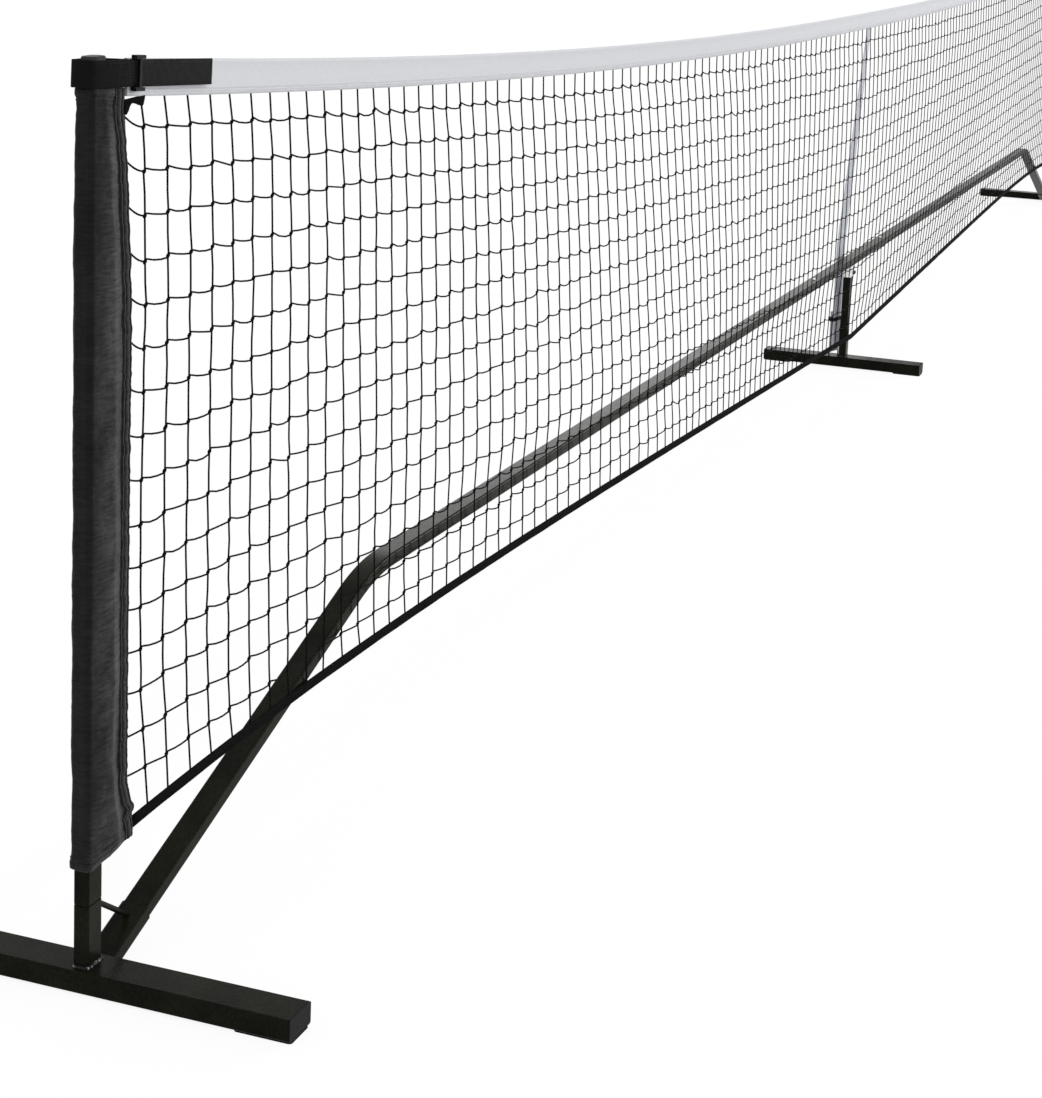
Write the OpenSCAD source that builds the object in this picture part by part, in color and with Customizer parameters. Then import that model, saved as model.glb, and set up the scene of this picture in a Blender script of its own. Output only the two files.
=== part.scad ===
// Portable pickleball net: a steel tube frame that plugs together, and a net hung between two posts.
// Millimetres. X runs along the net, Y across it, Z up. The origin is on the floor, midway between the posts.

/* [Overall] */
// Distance between the centre lines of the two posts
post_span = 6706; // [5400:1:8000]
// Height of the net's top edge at the posts
net_h_post = 914.4; // [890:0.1:940]
// Height of the net's top edge at the middle
net_h_centre = 827; // [780:0.5:880]
// Height of the crossbar's centre line
bar_h = 250; // [235:1:280]

/* [Frame tube] */
// Wide side of the flat tube that makes the posts, legs and crossbar
tube_w = 27.5; // [25:0.5:28]
// Narrow side of the flat tube
tube_t = 17; // [16:0.5:18]
// Wall of the flat tube and of the pieces inside it
tube_wall = 1.2; // [0.8:0.1:1.4]
// Outer corner radius of the flat tube
tube_r = 3; // [2:0.1:4]
// Clearance on each side of a piece that plugs into a tube
plug_clear = 0.1; // [0.05:0.01:0.15]

/* [Feet] */
// Width of a foot tube, along the net
foot_w = 45.5; // [45:0.5:60]
// Height of a foot tube
foot_t = 23; // [22:0.5:28]
// Wall of a foot tube
foot_wall = 1.5; // [1:0.1:2]
// Corner radius of a foot tube
foot_r = 2.5; // [2:0.1:3]
// Length of each end foot, across the net
end_foot_len = 467; // [400:1:600]
// Length of the middle foot, across the net
centre_foot_len = 368; // [300:1:500]
// Thickness of an end cap's flange
cap_flange = 4; // [3:0.5:6]
// Depth that an end cap's plug reaches into the tube
cap_plug = 14; // [8:1:25]
// Thickness of a rubber pad
pad_t = 2.5; // [1.5:0.5:4]
// Length of a rubber pad, across the net
pad_len = 62; // [40:1:80]
// Width of a rubber pad, along the net
pad_w = 39; // [30:1:39]

/* [End frames] */
// Height of the joint between a post and its stub
post_joint_h = 90; // [88:1:120]
// Depth and height of the rolled lip at each end of that joint
joint_lip = 0.9; // [0.3:0.1:1]
// Depth of a post's spigot in the stub
post_spigot_depth = 55; // [40:1:58]
// Length of a post's spigot above the joint
post_spigot_hold = 70; // [50:1:120]
// Rise of the angled tube over its run
leg_rise = 44; // [41:1:47]
// Run of the angled tube for that rise
leg_run = 117; // [112:1:124]
// Height at which the angled stub's centre line meets the foot
leg_root_h = 13.5; // [13.2:0.1:14]
// Wall of the angled stub
angled_stub_wall = 1.3; // [1:0.1:1.5]
// Length of the angled stub along its slope
angled_stub_len = 76; // [72:1:130]
// Distance up the stub's slope at which the angled tube starts
leg_start = 14; // [12:1:20]
// Radius of the tube's centre line where it bends level
bend_r = 300; // [200:1:400]
// Diameter of the brace rod
brace_d = 6; // [4:0.5:6]
// Height at which the brace rod meets the upright stub
brace_h = 84; // [80:0.5:85]
// Distance from the post's centre line at which the brace rod meets the angled stub
brace_reach = 75; // [72:1:86]
// Radius of a weld bead
weld_r = 2.6; // [1.5:0.1:3.5]
// Height of a post's cap above the tube
post_cap_h = 5; // [2.5:0.5:6]
// Depth of a post cap's plug
post_cap_plug = 18; // [10:1:30]

/* [Crossbar] */
// Distance from the middle to the joint beside the tee
tee_joint_x = 240; // [200:1:300]
// Length of each outer bar
outer_bar_len = 1020; // [800:1:1200]
// Length of the end tube's level stretch past its bend
end_level_len = 196.8; // [190:0.1:400]
// Length of a joint insert on each side of its joint
insert_half = 150; // [130:1:180]
// Length of the bright leg below the tee, down to the upright
tee_leg_len = 28; // [26:1:40]
// Depth of the leg's spigot in the centre upright
tee_spigot_depth = 45; // [30:1:60]
// Wire of the net hook under the tee
hook_d = 4; // [3:0.5:4]
// Distance from the middle to the net hook
hook_x = 20; // [19:1:60]
// Drop of the net hook below the bar
hook_drop = 20; // [12:1:26]

/* [Snap buttons] */
// Diameter of a snap button
button_d = 8; // [6:0.5:9]
// Height that a button stands above the tube
button_rise = 3; // [2:0.5:3]
// Travel of a button when it is pressed
button_travel = 4.4; // [4:0.1:4.4]
// Distance from the tee's joint to its button
button_offset = 110; // [60:1:115]
// Radial clearance of a button in the insert's hole
button_clear = 0.06; // [0.03:0.01:0.1]
// Radial clearance of a button in the outer tube's hole
button_hole_clear = 0.25; // [0.15:0.05:0.4]
// Width of the flange that keeps a button in
button_flange = 1.5; // [1:0.1:2]
// Thickness of the leaf spring
leaf_t = 0.8; // [0.5:0.1:1]
// Length of the leaf spring
leaf_len = 34; // [26:1:40]
// Width of the leaf spring
leaf_w = 9; // [6:0.5:10]

/* [Net] */
// Distance from a post's centre line to the net's outermost upright string
net_inset = 63; // [62:1:80]
// Distance in front of the frame's middle plane at which the net hangs
net_front = 16; // [15.8:0.1:17]
// Number of gaps along the net
net_columns = 50; // [20:2:50]
// Number of gaps up the net
net_rows = 6; // [3:1:6]
// Width of a string, as seen from the front
string_w = 3; // [2:0.5:4]
// Thickness of a string
string_t = 2; // [1:0.1:2.4]
// Power by which the top edge climbs from the middle to the posts
top_curve = 2.4; // [2:0.1:3]
// Height of the white top band
band_w = 36; // [30:1:42]
// Thickness of the folded top band
band_t = 5.2; // [5.2:0.1:5.6]
// Thickness of the band's cloth
band_cloth = 0.9; // [0.6:0.1:0.9]
// Depth that the net reaches up into the band
band_bite = 8; // [4:1:15]
// Diameter of the cord inside the band's fold
top_cord_d = 3; // [2:0.1:3.2]
// Height of the bottom tape
tape_w = 12; // [10:1:16]
// Thickness of the bottom tape
tape_t = 3; // [2:0.1:3.2]
// Height of the bottom tape's top edge at the middle
tape_h_centre = 80; // [70:0.5:120]
// Rise of the bottom tape's straight stretch from the middle, taken on to the posts
tape_rise = 127; // [110:1:132]
// Droop of the bottom tape below that line where it meets the sleeves
tape_droop = 47; // [36:1:52]
// Power by which that droop grows towards the sleeves
droop_curve = 6.4; // [5:0.1:8]

/* [Sleeves] */
// Thickness of the sleeve's cloth
sleeve_cloth = 1; // [0.6:0.1:1.2]
// Gap between the sleeve and the post
sleeve_gap = 0.5; // [0.4:0.1:0.8]
// Distance from the post's centre line to the sleeve's seam
sleeve_edge = 44; // [40:1:46]
// Distance by which the sleeve's top is narrower than that
seam_neck = 17; // [10:0.5:17]
// Extra width of the sleeve at its lower corner
sleeve_flare = 10.5; // [0:0.5:12]
// Drop from the net's height at the posts to the sleeve's top on the outer side
sleeve_drop = 25.1; // [25.1:0.1:36]
// Drop of the sleeve's top edge from the outer side to its seam
seam_drop = 1.5; // [1:0.5:24]
// Height of the sleeve's hem on the outer side
sleeve_hem_h = 124; // [122:1:140]
// Rise of the hem from the outer side to the seam
seam_hem_rise = 23; // [16:0.5:30]
// Depth of the sleeve's folds
sleeve_fold = 1.6; // [0:0.1:2]

/* [Post straps] */
// Width of the webbing
web_w = 26; // [20:1:27]
// Thickness of the webbing
web_t = 1.4; // [1:0.1:1.6]
// Height that the webbing stands above the net's top edge
web_rise = 2.8; // [0:0.1:3]
// Slack of the webbing's loop behind the post and on its outer side
web_slack = 3.5; // [0:0.5:5]
// Length of the free tail from the post's centre line
tail_reach = 187; // [180:1:260]
// Distance in front of the net at which the tail lies
tail_front = 6.6; // [6.6:0.1:8]
// Distance from the post's centre line to the slider's middle
slider_x = 43; // [42:1:50]
// Width of the slider along the webbing
slider_w = 17; // [14:1:19]
// Width of one bar of the slider
slider_bar = 4.2; // [3:0.1:4.4]
// Thickness of the slider's bars
slider_t = 2; // [1.5:0.1:2]
// Height that the slider's rails stand beyond the webbing
slider_rail = 3.5; // [2:0.5:6]
// Gap between the slider and the webbing
slider_gap = 0.35; // [0.3:0.05:0.4]

/* [Centre strap] */
// Width of the centre strap
cstrap_w = 40; // [30:1:40]
// Thickness of the centre strap
cstrap_t = 1.4; // [1:0.1:1.6]
// Angle by which the lower strap turns away from the net, in degrees
cstrap_turn = 15; // [0:1:15]
// Distance behind the frame's middle plane at which the anchor stands
anchor_y = 23; // [22.8:0.1:30]
// Height of the slider on the centre strap
cslider_h = 112; // [90:1:140]
// Height of the slider's loop
cslider_w = 8; // [5:0.5:12]
// Thickness of the slider's wall
cslider_t = 2.5; // [2:0.1:3]
// Diameter of the anchor's wire
anchor_d = 3; // [2.5:0.1:3]
// Height of the anchor's bar above the middle foot
anchor_rise = 12; // [9:0.5:20]

/* [Hidden] */

$fn = 32;
BLACK = [0.07, 0.07, 0.07];
NET_BLACK = [0.05, 0.05, 0.06];
ZINC = [0.78, 0.79, 0.8];
WELD = [0.45, 0.45, 0.44];
RUBBER = [0.03, 0.03, 0.03];
WHITE = [0.86, 0.87, 0.9];

// Far enough to cut right through anything
past = 500;
// Gap between soft pieces that are sewn together
sewn_gap = 0.3;

// Frame
half_span = post_span / 2;
foot_top = pad_t + foot_t;
plug_w = tube_w - 2 * tube_wall - 2 * plug_clear;
plug_t = tube_t - 2 * tube_wall - 2 * plug_clear;
plug_r = tube_r - tube_wall;
stub_w = tube_w + 2 * plug_clear + 2 * angled_stub_wall;
stub_t = tube_t + 2 * plug_clear + 2 * angled_stub_wall;
stub_r = tube_r + angled_stub_wall;
post_top = net_h_post - 0.4;
leg_slope = atan(leg_rise / leg_run);
bend_x = foot_w / 2 + (bar_h - leg_root_h) / tan(leg_slope);
bend_tangent = bend_r * tan(leg_slope / 2);
leg_len = (bar_h - leg_root_h) / sin(leg_slope) - bend_tangent;
end_bar_x = bend_x + bend_tangent + end_level_len;
outer_joint_x = half_span - end_bar_x;
mid_joint_x = outer_joint_x - outer_bar_len;
bar_bottom = bar_h - tube_t / 2;
upright_top = bar_bottom - tee_leg_len;
brace_foot_h = leg_root_h + (brace_reach - foot_w / 2) * tan(leg_slope) + stub_t / 2 / cos(leg_slope);
brace_drop = atan((brace_h - brace_foot_h) / (brace_reach - tube_w / 2));

// Snap buttons, measured from the bar's centre line
insert_ceiling = plug_t / 2 - tube_wall;
flange_top = insert_ceiling - 0.3;
flange_t = 1;
button_top = tube_t / 2 + button_rise;
button_x = tee_joint_x + button_offset;

// Sleeves
sleeve_top_h = net_h_post - sleeve_drop;
seam_top_h = sleeve_top_h - seam_drop;
seam_hem_h = sleeve_hem_h + seam_hem_rise;

// Net
net_half = half_span - net_inset;
band_half = half_span - tube_w / 2 - 17;
column_w = 2 * net_half / net_columns;
string_x = [for (i = [0 : net_columns]) i * column_w - net_half];
mesh_x = concat([-net_half - string_w / 2], string_x, [net_half + string_w / 2]);
band_x = concat([-band_half], string_x, [band_half]);
tape_half = half_span - sleeve_edge - sleeve_flare - sewn_gap;
tape_x = concat([-tape_half], string_x, [tape_half]);
end_slope = atan(2 * (net_h_post - net_h_centre) / net_half);

// Post straps
web_mid_h = net_h_post - web_w / 2 + web_rise;
tail_y = -net_front - tail_front;

// Centre strap
loop_r = anchor_d / 2 + 0.2 + cstrap_t;
run_y = loop_r - cstrap_t / 2;
anchor_h = foot_top + anchor_rise;
lean_start_h = bar_h + 40;
lean_end_h = net_h_centre - band_w - 4;
cstrap_top_h = net_h_centre - 6;
cstrap_top_y = -net_front + band_t / 2 + cstrap_t / 2 + 0.5;
lean_levels = [lean_start_h, 380, 500, 650, lean_end_h, cstrap_top_h];

function share(x) = abs(x) / net_half;
function band_top(x) = net_h_centre + (net_h_post - net_h_centre) * pow(share(x), top_curve);
function band_low(x) = band_top(x) - band_w;
function tape_top(x) = tape_h_centre + tape_rise * share(x) - tape_droop * pow(share(x), droop_curve);

// Height of the net's row j at x: the rows share the height between the tape and the band
function mesh_low(x) = tape_top(x) + sewn_gap;
function row_z(x, j) = mesh_low(x) + (band_low(x) - mesh_low(x)) * j / net_rows;

// ---- Helpers ----

module rounded_rect(w, h, r) {
    square([w - 2 * r, h], center = true);
    square([w, h - 2 * r], center = true);
    for (x = [-1, 1], y = [-1, 1])
        translate([x * (w / 2 - r), y * (h / 2 - r)])
            circle(r);
}

// A flat tube's section: w by h outside, with the given wall
module tube_2d(w, h, r, wall) {
    difference() {
        rounded_rect(w, h, r);
        rounded_rect(w - 2 * wall, h - 2 * wall, r - wall);
    }
}

// Children drawn as (Y, Z) and pushed along +X
module along_x(len) {
    rotate([90, 0, 90])
        linear_extrude(len)
            children();
}

// Children drawn as (X, Z), with their thickness centred on the plane at y
module along_y(y, thick) {
    translate([0, y + thick / 2, 0])
        rotate([90, 0, 0])
            linear_extrude(thick)
                children();
}

// Moves an end frame, drawn with its post at the origin and the net towards +X, to its end
module at_end(right) {
    mirror([right ? 1 : 0, 0, 0])
        translate([-half_span, 0, 0])
            children();
}

// A strip between two functions of x, given as lists of heights
module strip(xs, low, high) {
    n = len(xs) - 1;
    polygon(concat(
        [for (i = [0 : n]) [xs[i], low[i]]],
        [for (i = [n : -1 : 0]) [xs[i], high[i]]]
    ));
}

// Triangles between stacked rings of n points that turn anticlockwise about the way they are stacked
function skin_sides(n, m, start = 0) = [
    for (i = [0 : m - 2], j = [0 : n - 1])
        let (a = start + i * n + j, b = start + i * n + (j + 1) % n)
            each [[a, a + n, b + n], [a, b + n, b]]
];
function flipped(faces) = [for (f = faces) [f[0], f[2], f[1]]];

// Skins stacked rings as one solid with flat ends
module skin(rings) {
    n = len(rings[0]);
    m = len(rings);
    top = (m - 1) * n;
    first = [for (j = [1 : n - 2]) [0, j, j + 1]];
    last = [for (j = [1 : n - 2]) [top, top + j + 1, top + j]];
    polyhedron([for (r = rings) each r], concat(skin_sides(n, m), first, last));
}

// Skins two stacks of rings as a cloth tube, open at both ends
module tube_skin(outer, inner) {
    n = len(outer[0]);
    m = len(outer);
    inside = m * n;
    rims = [
        for (j = [0 : n - 1])
            let (k = (j + 1) % n, t = (m - 1) * n)
                each [
                    [j, k, inside + k], [j, inside + k, inside + j],
                    [t + j, inside + t + k, t + k], [t + j, inside + t + j, inside + t + k]
                ]
    ];
    polyhedron(
        concat([for (r = outer) each r], [for (r = inner) each r]),
        concat(skin_sides(n, m), flipped(skin_sides(n, m, inside)), rims)
    );
}

// A closed anticlockwise outline of [x, y] points moved inwards by d
function inset_outline(points, d) =
    let (n = len(points))
    [for (i = [0 : n - 1])
        let (
            a = points[i] - points[(i + n - 1) % n],
            b = points[(i + 1) % n] - points[i],
            p = [-a[1], a[0]] / norm(a),
            q = [-b[1], b[0]] / norm(b)
        )
        points[i] + d * (p + q) / (1 + p * q)];

// ---- Feet ----

module foot_tube(len) {
    color(BLACK)
        translate([0, len / 2 - cap_flange, pad_t + foot_t / 2])
            rotate([90, 0, 0])
                linear_extrude(len - 2 * cap_flange)
                    tube_2d(foot_w, foot_t, foot_r, foot_wall);
}

// One end cap, with its flange towards -Y and its hollow plug towards +Y
module foot_cap() {
    plug_in = foot_wall + plug_clear;
    rim = 2;
    rotate([90, 0, 0]) {
        linear_extrude(cap_flange)
            rounded_rect(foot_w, foot_t, foot_r);
        translate([0, 0, -cap_plug])
            linear_extrude(cap_plug)
                tube_2d(foot_w - 2 * plug_in, foot_t - 2 * plug_in, foot_r - foot_wall + rim, rim);
    }
}

module foot_caps(len) {
    color(BLACK)
        for (turn = [0, 180])
            rotate([0, 0, turn])
                translate([0, cap_flange - len / 2, pad_t + foot_t / 2])
                    foot_cap();
}

module foot_pads(len) {
    color(RUBBER)
        for (side = [-1, 1])
            translate([0, side * (len - pad_len) / 2, 0])
                linear_extrude(pad_t)
                    rounded_rect(pad_w, pad_len, 4);
}

// ---- End frames, drawn at the origin and moved by at_end ----

module upright_tube(z0, z1) {
    color(BLACK)
        translate([0, 0, z0])
            linear_extrude(z1 - z0)
                tube_2d(tube_w, tube_t, tube_r, tube_wall);
}

// The narrower lip of a tube where a post meets its stub
module joint_lip_tube(z0) {
    slim = 2 * joint_lip;
    color(BLACK)
        translate([0, 0, z0])
            linear_extrude(joint_lip)
                tube_2d(tube_w - slim, tube_t - slim, tube_r - joint_lip, tube_wall - joint_lip);
}

module upright_stub() {
    upright_tube(foot_top, post_joint_h - joint_lip);
    joint_lip_tube(post_joint_h - joint_lip);
}

module post() {
    upright_tube(post_joint_h + joint_lip, post_top);
    joint_lip_tube(post_joint_h);
}

module plug_tube(z0, z1) {
    translate([0, 0, z0])
        linear_extrude(z1 - z0)
            tube_2d(plug_w, plug_t, plug_r, tube_wall);
}

module post_spigot() {
    color(ZINC)
        plug_tube(post_joint_h - post_spigot_depth, post_joint_h + post_spigot_hold);
}

// Turns the X axis onto the sloping leg's centre line
module on_leg() {
    translate([foot_w / 2, 0, leg_root_h])
        rotate([0, -leg_slope, 0])
            children();
}

// The angled stub's outline, run back into the foot, which cuts it off
module angled_stub_outline() {
    run_back = 40;
    on_leg()
        translate([-run_back, 0, 0])
            along_x(run_back + angled_stub_len)
                rounded_rect(stub_w, stub_t, stub_r);
}

module angled_stub() {
    color(BLACK)
        difference() {
            angled_stub_outline();
            on_leg()
                translate([-past / 2, 0, 0])
                    along_x(past)
                        rounded_rect(stub_w - 2 * angled_stub_wall, stub_t - 2 * angled_stub_wall, tube_r);
            translate([foot_w / 2 - past, -past / 2, -past / 2])
                cube(past);
        }
}

module brace_rod() {
    sunk = 4;
    color(BLACK)
        difference() {
            translate([tube_w / 2 - sunk, 0, brace_h + sunk * tan(brace_drop)])
                rotate([0, 90 + brace_drop, 0])
                    cylinder(h = (brace_reach - tube_w / 2 + 2 * sunk) / cos(brace_drop), d = brace_d);
            translate([0, 0, foot_top])
                linear_extrude(past)
                    rounded_rect(tube_w, tube_t, tube_r);
            angled_stub_outline();
            on_leg()
                translate([0, -past / 2, -past])
                    cube(past);
        }
}

// A bead of weld round the foot of an upright
module weld_bead() {
    x = tube_w / 2;
    y = tube_t / 2;
    color(WELD)
        difference() {
            union() {
                for (side = [-1, 1]) {
                    translate([-x, side * y, foot_top])
                        rotate([0, 90, 0])
                            cylinder(r = weld_r, h = tube_w);
                    translate([side * x, y, foot_top])
                        rotate([90, 0, 0])
                            cylinder(r = weld_r, h = tube_t);
                    for (end = [-1, 1])
                        translate([side * x, end * y, foot_top])
                            sphere(weld_r);
                }
            }
            translate([-past / 2, -past / 2, foot_top - past])
                cube(past);
            linear_extrude(past)
                rounded_rect(tube_w, tube_t, tube_r);
        }
}

module weld_beads() {
    at_end(false)
        weld_bead();
    at_end(true)
        weld_bead();
    weld_bead();
}

module post_cap() {
    crown = 0.8;
    color(BLACK) {
        translate([0, 0, post_top])
            linear_extrude(post_cap_h - crown)
                rounded_rect(tube_w, tube_t, tube_t / 2 - 0.5);
        translate([0, 0, post_top + post_cap_h - crown])
            linear_extrude(crown)
                rounded_rect(tube_w - 2, tube_t - 2, tube_t / 2 - 1.5);
        plug_tube(post_top - post_cap_plug, post_top);
    }
}

// The sloping leg, its bend and the first level stretch, with its open ends run on by spare
module bent_outline(w, t, r, spare) {
    translate([bend_x + bend_tangent, 0, bar_h - bend_r])
        rotate([90, 0, 0])
            rotate([0, 0, 90]) {
                translate([bend_r, 0, 0])
                    rotate([90, 0, 0])
                        linear_extrude(end_level_len + spare)
                            rounded_rect(t, w, r);
                difference() {
                    rotate_extrude(angle = 90, $fn = 180)
                        translate([bend_r, 0])
                            rounded_rect(t, w, r);
                    rotate([0, 0, leg_slope])
                        translate([-past, 0, -past])
                            cube(2 * past);
                }
                rotate([0, 0, leg_slope])
                    translate([bend_r, 0, 0])
                        rotate([-90, 0, 0])
                            linear_extrude(leg_len - leg_start + spare)
                                rounded_rect(t, w, r);
            }
}

module end_tube() {
    color(BLACK)
        difference() {
            bent_outline(tube_w, tube_t, tube_r, 0);
            bent_outline(tube_w - 2 * tube_wall, tube_t - 2 * tube_wall, tube_r - tube_wall, 1);
        }
}

// ---- Crossbar, drawn on the right and mirrored ----

module on_side(right) {
    mirror([right ? 0 : 1, 0, 0])
        children();
}

module level_tube(x0, x1) {
    color(BLACK)
        translate([x0, 0, bar_h])
            along_x(x1 - x0)
                tube_2d(tube_w, tube_t, tube_r, tube_wall);
}

module insert(joint_x) {
    color(ZINC)
        translate([joint_x - insert_half, 0, bar_h])
            along_x(2 * insert_half)
                tube_2d(plug_w, plug_t, plug_r, tube_wall);
}

// Children with the snap button's hole drilled through their upper wall
module with_button_hole(clear) {
    difference() {
        children();
        translate([button_x, 0, bar_h])
            cylinder(d = button_d + 2 * clear, h = tube_t);
    }
}

module snap_button() {
    r = button_d / 2;
    color(ZINC)
        translate([button_x, 0, bar_h])
            rotate_extrude()
                polygon([
                    [0, flange_top - flange_t], [r + button_flange, flange_top - flange_t],
                    [r + button_flange, flange_top], [r, flange_top],
                    [r, button_top - 1.4], [r - 0.5, button_top - 0.6], [r - 1.6, button_top], [0, button_top]
                ]);
}

// The leaf spring under a button: a strip folded into a V that lies in the insert
module button_spring() {
    low = -insert_ceiling + 0.05;
    high = flange_top - flange_t - 0.05;
    front = 8;
    fold = front - leaf_len;
    color(ZINC)
        translate([button_x, 0, bar_h])
            along_y(0, leaf_w)
                polygon([
                    [fold, low], [front, low], [front, low + leaf_t], [fold + 3 * leaf_t, low + leaf_t],
                    [-4, high - leaf_t], [5, high - leaf_t], [5, high], [-4.4, high], [fold, low + 1.6 * leaf_t]
                ]);
}

module inner_bar() {
    with_button_hole(button_hole_clear)
        level_tube(tee_joint_x, mid_joint_x);
}

module tee_insert() {
    with_button_hole(button_clear)
        insert(tee_joint_x);
}

module tee_bar() {
    level_tube(-tee_joint_x, tee_joint_x);
}

// The bright leg under the tee, with the spigot that plugs into the centre upright
module tee_leg() {
    color(ZINC) {
        translate([0, 0, upright_top])
            linear_extrude(tee_leg_len)
                tube_2d(tube_w, tube_t, tube_r, tube_wall + plug_clear);
        plug_tube(upright_top - tee_spigot_depth, bar_bottom);
    }
}

// A hook of round wire under the tee, open upwards on the net's side
module net_hook() {
    curl = 3.2;
    lip = 4;
    color(BLACK)
        translate([hook_x, -5, bar_bottom]) {
            translate([0, 0, -hook_drop])
                cylinder(d = hook_d, h = hook_drop);
            translate([0, -curl, -hook_drop])
                rotate([90, 0, 90])
                    rotate([0, 0, 180])
                        rotate_extrude(angle = 180)
                            translate([curl, 0])
                                circle(d = hook_d);
            translate([0, -2 * curl, -hook_drop])
                cylinder(d = hook_d, h = lip);
        }
}

// ---- Net ----

module net_gap(i, j) {
    half = string_w / 2;
    a = string_x[i] + half;
    b = string_x[i + 1] - half;
    lift = j == 0 ? string_w : half;
    polygon([
        [a, row_z(a, j) + lift], [b, row_z(b, j) + lift],
        [b, row_z(b, j + 1) - half], [a, row_z(a, j + 1) - half]
    ]);
}

module net_mesh() {
    half = string_w / 2;
    color(NET_BLACK)
        along_y(-net_front, string_t) {
            difference() {
                strip(mesh_x, [for (x = mesh_x) mesh_low(x)], [for (x = mesh_x) band_low(x) + band_bite]);
                for (i = [0 : net_columns - 1], j = [0 : net_rows - 1])
                    net_gap(i, j);
            }
            for (side = [-1, 1], j = [1 : net_rows - 1])
                let (
                    z = row_z(net_half, j),
                    reach = half_span - sleeve_seam(z) - sewn_gap - net_half
                )
                    translate([side * (net_half + reach / 2), z])
                        square([reach, string_w], center = true);
        }
}

// The white band, folded over its cord and sewn to the net
module top_band() {
    beyond = [for (x = band_x) x * (1 + 1 / band_half)];
    color(WHITE)
        difference() {
            along_y(-net_front, band_t)
                strip(band_x, [for (x = band_x) band_low(x)], [for (x = band_x) band_top(x)]);
            along_y(-net_front, band_t - 2 * band_cloth)
                strip(beyond, [for (x = beyond) band_low(x) - 1], [for (x = beyond) band_top(x) - band_cloth]);
        }
}

module top_cord() {
    drop = band_cloth + top_cord_d / 2 + sewn_gap;
    every = 2;
    color(WHITE)
        skin([
            for (i = [1 : every : len(band_x) - 2])
                [for (a = [0 : 45 : 315])
                    [
                        band_x[i],
                        top_cord_d / 2 * cos(a) - net_front,
                        top_cord_d / 2 * sin(a) - drop + band_top(band_x[i])
                    ]]
        ]);
}

module bottom_tape() {
    color(NET_BLACK)
        along_y(-net_front, tape_t)
            strip(tape_x, [for (x = tape_x) tape_top(x) - tape_w], [for (x = tape_x) tape_top(x)]);
}

// ---- Sleeves, drawn round a post at the origin ----

// Distance from the post's centre line to the sleeve's seam at a height: narrow at the top, wide at the hem
function sleeve_seam(z) =
    let (t = max(seam_top_h - z, 0) / (seam_top_h - seam_hem_h))
    sleeve_edge - seam_neck * exp(-pow(t / 0.155, 1.6)) + sleeve_flare * pow(min(t / 0.97, 1), 14);

// The sleeve's outline at the share t of the way down its seam, inset from its outer face
function sleeve_ring(t, inset) =
    let (
        z = seam_top_h - t * (seam_top_h - seam_hem_h),
        a = tube_w / 2 + sleeve_gap + sleeve_cloth,
        b = tube_t / 2 + sleeve_gap + sleeve_cloth,
        r = tube_r,
        e = sleeve_seam(z),
        lip = sleeve_cloth + 0.1,
        f = sleeve_fold * (0.5 + 0.5 * sin(900 * t)),
        g = sleeve_fold * (0.5 + 0.5 * cos(1300 * t)),
        front = [-a + r, -b],
        tip = [e, -net_front - lip],
        heel = [e, -net_front + lip],
        back = [a, b - r],
        outline = concat(
            [for (q = [0 : 30 : 90]) [-a + r - r * cos(q), -b + r - r * sin(q)]],
            [for (s = [0.25, 0.5, 0.75]) front + s * (tip - front) - [0, (s == 0.5 ? f : 0.6 * g)]],
            [tip, heel],
            [for (s = [0.35, 0.7]) heel + s * (back - heel) + [(s == 0.35 ? g : 0.6 * f), 0]],
            [for (q = [0 : 30 : 90]) [a - r + r * cos(q), b - r + r * sin(q)]],
            [[a * 0.3, b + g], [-a * 0.3, b + f]],
            [for (q = [0 : 30 : 90]) [-a + r - r * sin(q), b - r + r * cos(q)]]
        ),
        rise = (1 - t) * (sleeve_top_h - seam_top_h) - t * (seam_hem_h - sleeve_hem_h)
    )
    [for (p = inset_outline(outline, inset)) [p[0], p[1], z + rise * (e - p[0]) / (e + a)]];

module sleeve() {
    levels = [1, 0.975, 0.94, 0.89, 0.83, 0.76, 0.68, 0.6, 0.51, 0.42, 0.33, 0.24, 0.16, 0.09, 0.03, 0];
    color(NET_BLACK)
        tube_skin([for (t = levels) sleeve_ring(t, 0)], [for (t = levels) sleeve_ring(t, sleeve_cloth)]);
}

// A patch of black cloth under the end of the white band, from the sleeve to the net's outermost string
module corner_tab() {
    in = sleeve_edge - seam_neck + 1;
    out = net_inset + 2;
    high = [band_low(half_span - in) - sewn_gap, band_low(half_span - out) - sewn_gap];
    color(NET_BLACK)
        along_y(-net_front - string_t / 2 - sewn_gap - 0.5, 1)
            polygon([
                [in, high[0]], [in, high[0] - 14], [in + 5, high[0] - 12], [in + 11, high[0] - 5],
                [out - 6, high[1] - 10], [out - 2.5, high[1] - 10], [out, high[1]]
            ]);
}

// ---- Post straps, level with the band's end, drawn round a post at the origin ----

module on_tail() {
    translate([0, 0, web_mid_h])
        rotate([0, end_slope, 0])
            children();
}

// The points at a distance to the left of a route, with mitred corners
function beside(route, d) =
    let (n = len(route) - 1)
    [for (i = [0 : n])
        let (
            a = i == 0 ? route[1] - route[0] : route[i] - route[i - 1],
            b = i == n ? a : route[i + 1] - route[i],
            p = [-a[1], a[0]] / norm(a),
            q = [-b[1], b[0]] / norm(b)
        )
        route[i] + d * (p + q) / (1 + p * q)];

function reversed(list) = [for (i = [len(list) - 1 : -1 : 0]) list[i]];

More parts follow.
